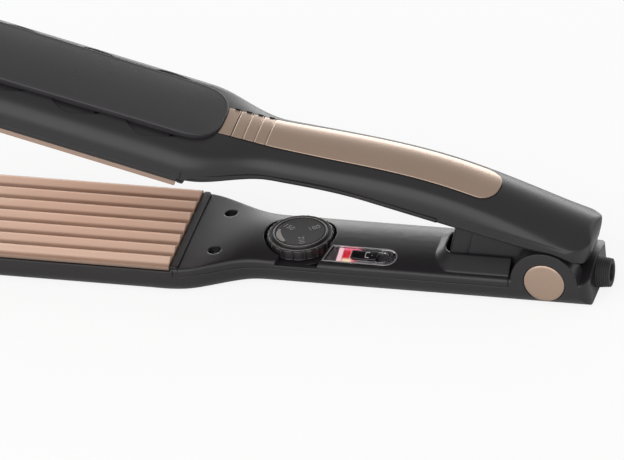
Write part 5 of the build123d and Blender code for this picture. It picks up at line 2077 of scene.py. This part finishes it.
@dataclass
class CordInlet:
    """Rubber gland in the tail."""

    shop: Workshop
    x: float = 118.55
    z: float = 6.8
    bore: float = 3.2
    neck: float = 4.15
    flange: float = 5.7
    taper: float = 0.105
    ring_depth: float = 0.28
    ring_pitch: float = 4.0

    def build(self) -> None:
        """Turns the gland's profile about the cord's axis.

        The flange is a cone of radius 5.7 - 0.105 d, less 0.28 cos(4 d)^2 for its grip rings.
        """
        bore, neck = self.bore, self.neck
        rings = np.linspace(6.6, 11.3, 40)
        grip = self.ring_depth * np.cos(rings * self.ring_pitch) ** 2
        outer = joined(self.flange - (rings - 6.5) * self.taper - grip, rings)
        front = [[bore, 0.0], [bore + 0.1, 0.0], [neck - 0.1, 0.0], [neck, 0.2]]
        front += [[neck, 6.5], [5.5, 6.5]]
        back = [[4.9, 11.45], [3.6, 11.5], [bore, 11.2], [bore, 0.3], [bore, 0.0]]
        grid = revolved(np.concatenate([front, outer, back]), 72)
        points = joined(self.x + grid[..., 2], grid[..., 0], self.z + grid[..., 1])
        gland = Surface().grid(points, ends=False).piece("rubber_gland")
        self.shop.mount(gland, Slot.RUBBER, Body.LOWER, "cord_gland")


# Studio


@dataclass(frozen=True)
class Lamp:
    """Rectangular area lamp: its place and size in metres and its power in watts."""

    name: str
    place: Triple
    size: Pair
    power: float
    aim: Triple = (0.0, 0.0, 0.03)

    def build(self) -> None:
        """Makes the lamp and turns it to the middle of the object."""
        data = bpy.data.lights.new(self.name, "AREA")
        data.shape = "RECTANGLE"
        data.size, data.size_y = self.size
        data.energy = self.power
        made = bpy.data.objects.new(self.name, data)
        made.location = self.place
        aim = Vector(self.aim) - Vector(self.place)
        made.rotation_euler = aim.to_track_quat("-Z", "Y").to_euler()
        bpy.context.scene.collection.objects.link(made)


@dataclass
class Studio:
    """Pale floor, soft lamps, white surroundings and the photograph's camera."""

    world_light: float = 0.54
    key_lamp: Lamp = Lamp("key_lamp", (-0.3, -1.25, 0.8), (3.2, 1.6), 27.0)
    rim_lamp: Lamp = Lamp("rim_lamp", (-0.3, 1.5, 0.2), (2.6, 0.42), 13.0)
    floor_reach: float = 4000.0
    floor_drop: float = 0.05
    floor_tone: float = 0.9
    floor_white: float = 0.85
    pixels_per_mm: float = 2.8
    distance: float = 6500.0
    sensor: float = 36.0
    image_width: int = 624
    clip_end: float = 40.0
    right: Triple = (0.9664, 0.2465, -0.0730)
    up: Triple = (-0.0764, 0.5466, 0.8339)
    aim_z: float = 13.0
    shift: Pair = (4.086, 1.286)

    def white_for_view(self, g: Graph, share: float) -> None:
        """Mixes the tree's own shader with plain white light for camera and transmission rays.

        Args:
            g: Graph of the floor or the world.
            share: Share of white in what those rays see.
        """
        camera = g.node("ShaderNodeLightPath", {}, {}, "Is Camera Ray")
        seen = camera.larger(camera.sibling("Is Transmission Ray"))
        kind = "ShaderNodeBackground" if g.shader.type == "BACKGROUND" else "ShaderNodeEmission"
        white = g.node(kind, {}, {"Color": WHITE, "Strength": 1.0})
        own = Signal(g, g.shader.outputs[0])
        mixed = g.node("ShaderNodeMixShader", {}, {0: seen * share, 1: own, 2: white})
        g.feed(g.output.inputs["Surface"], mixed)

    def surroundings(self) -> None:
        """World light: plain for surfaces, white for what sees the background."""
        g = Graph("studio", world=True)
        g.set(Color=WHITE, Strength=self.world_light)
        self.white_for_view(g, 1.0)
        bpy.context.scene.world = g.owner

    def floor(self) -> None:
        """Pale floor that keeps a faint shadow."""
        side = np.array([-self.floor_reach, self.floor_reach])
        corners = joined(side, side[:, None], -self.floor_drop)
        plane = Surface().sheet(corners).piece("floor")
        g = Graph("floor_white")
        g.set(Base_Color=(*(self.floor_tone,) * 3, 1.0), Roughness=0.9)
        self.white_for_view(g, self.floor_white)
        plane.data.materials.append(g.owner)

    def camera(self) -> None:
        """Camera far away on the photograph's line of sight, with its roll and scale."""
        right, up = Vector(self.right), Vector(self.up)
        back = right.cross(up).normalized()
        centre = Vector((SIZES.dial_x, 0.0, self.aim_z))
        centre = centre + right * self.shift[0] + up * self.shift[1]
        data = bpy.data.cameras.new("camera")
        data.sensor_width = self.sensor
        data.lens = self.sensor * self.distance * self.pixels_per_mm / self.image_width
        data.clip_end = self.clip_end
        made = bpy.data.objects.new("camera", data)
        turn = Matrix((right.normalized(), up.normalized(), back)).transposed()
        place = (centre + back * self.distance) * MM
        made.matrix_world = Matrix.Translation(place) @ turn.to_4x4()
        bpy.context.scene.collection.objects.link(made)
        bpy.context.scene.camera = made

    def build(self) -> None:
        """Sets up the whole studio."""
        self.surroundings()
        self.floor()
        self.key_lamp.build()
        self.rim_lamp.build()
        self.camera()
        bpy.context.scene.view_settings.view_transform = "Standard"


def main() -> None:
    """Builds every sub-assembly and the studio."""
    logging.basicConfig(level=logging.INFO, format="%(name)s %(message)s")
    shop = Workshop()
    for assembly in (
        Housings, HeatingPlates, TopCover, GripInlay, TemperatureDial, SwitchWindow, Hinge,
        InnerParts, CordInlet,
    ):
        assembly(shop).build()
    Studio().build()


if __name__ == "__main__":
    main()
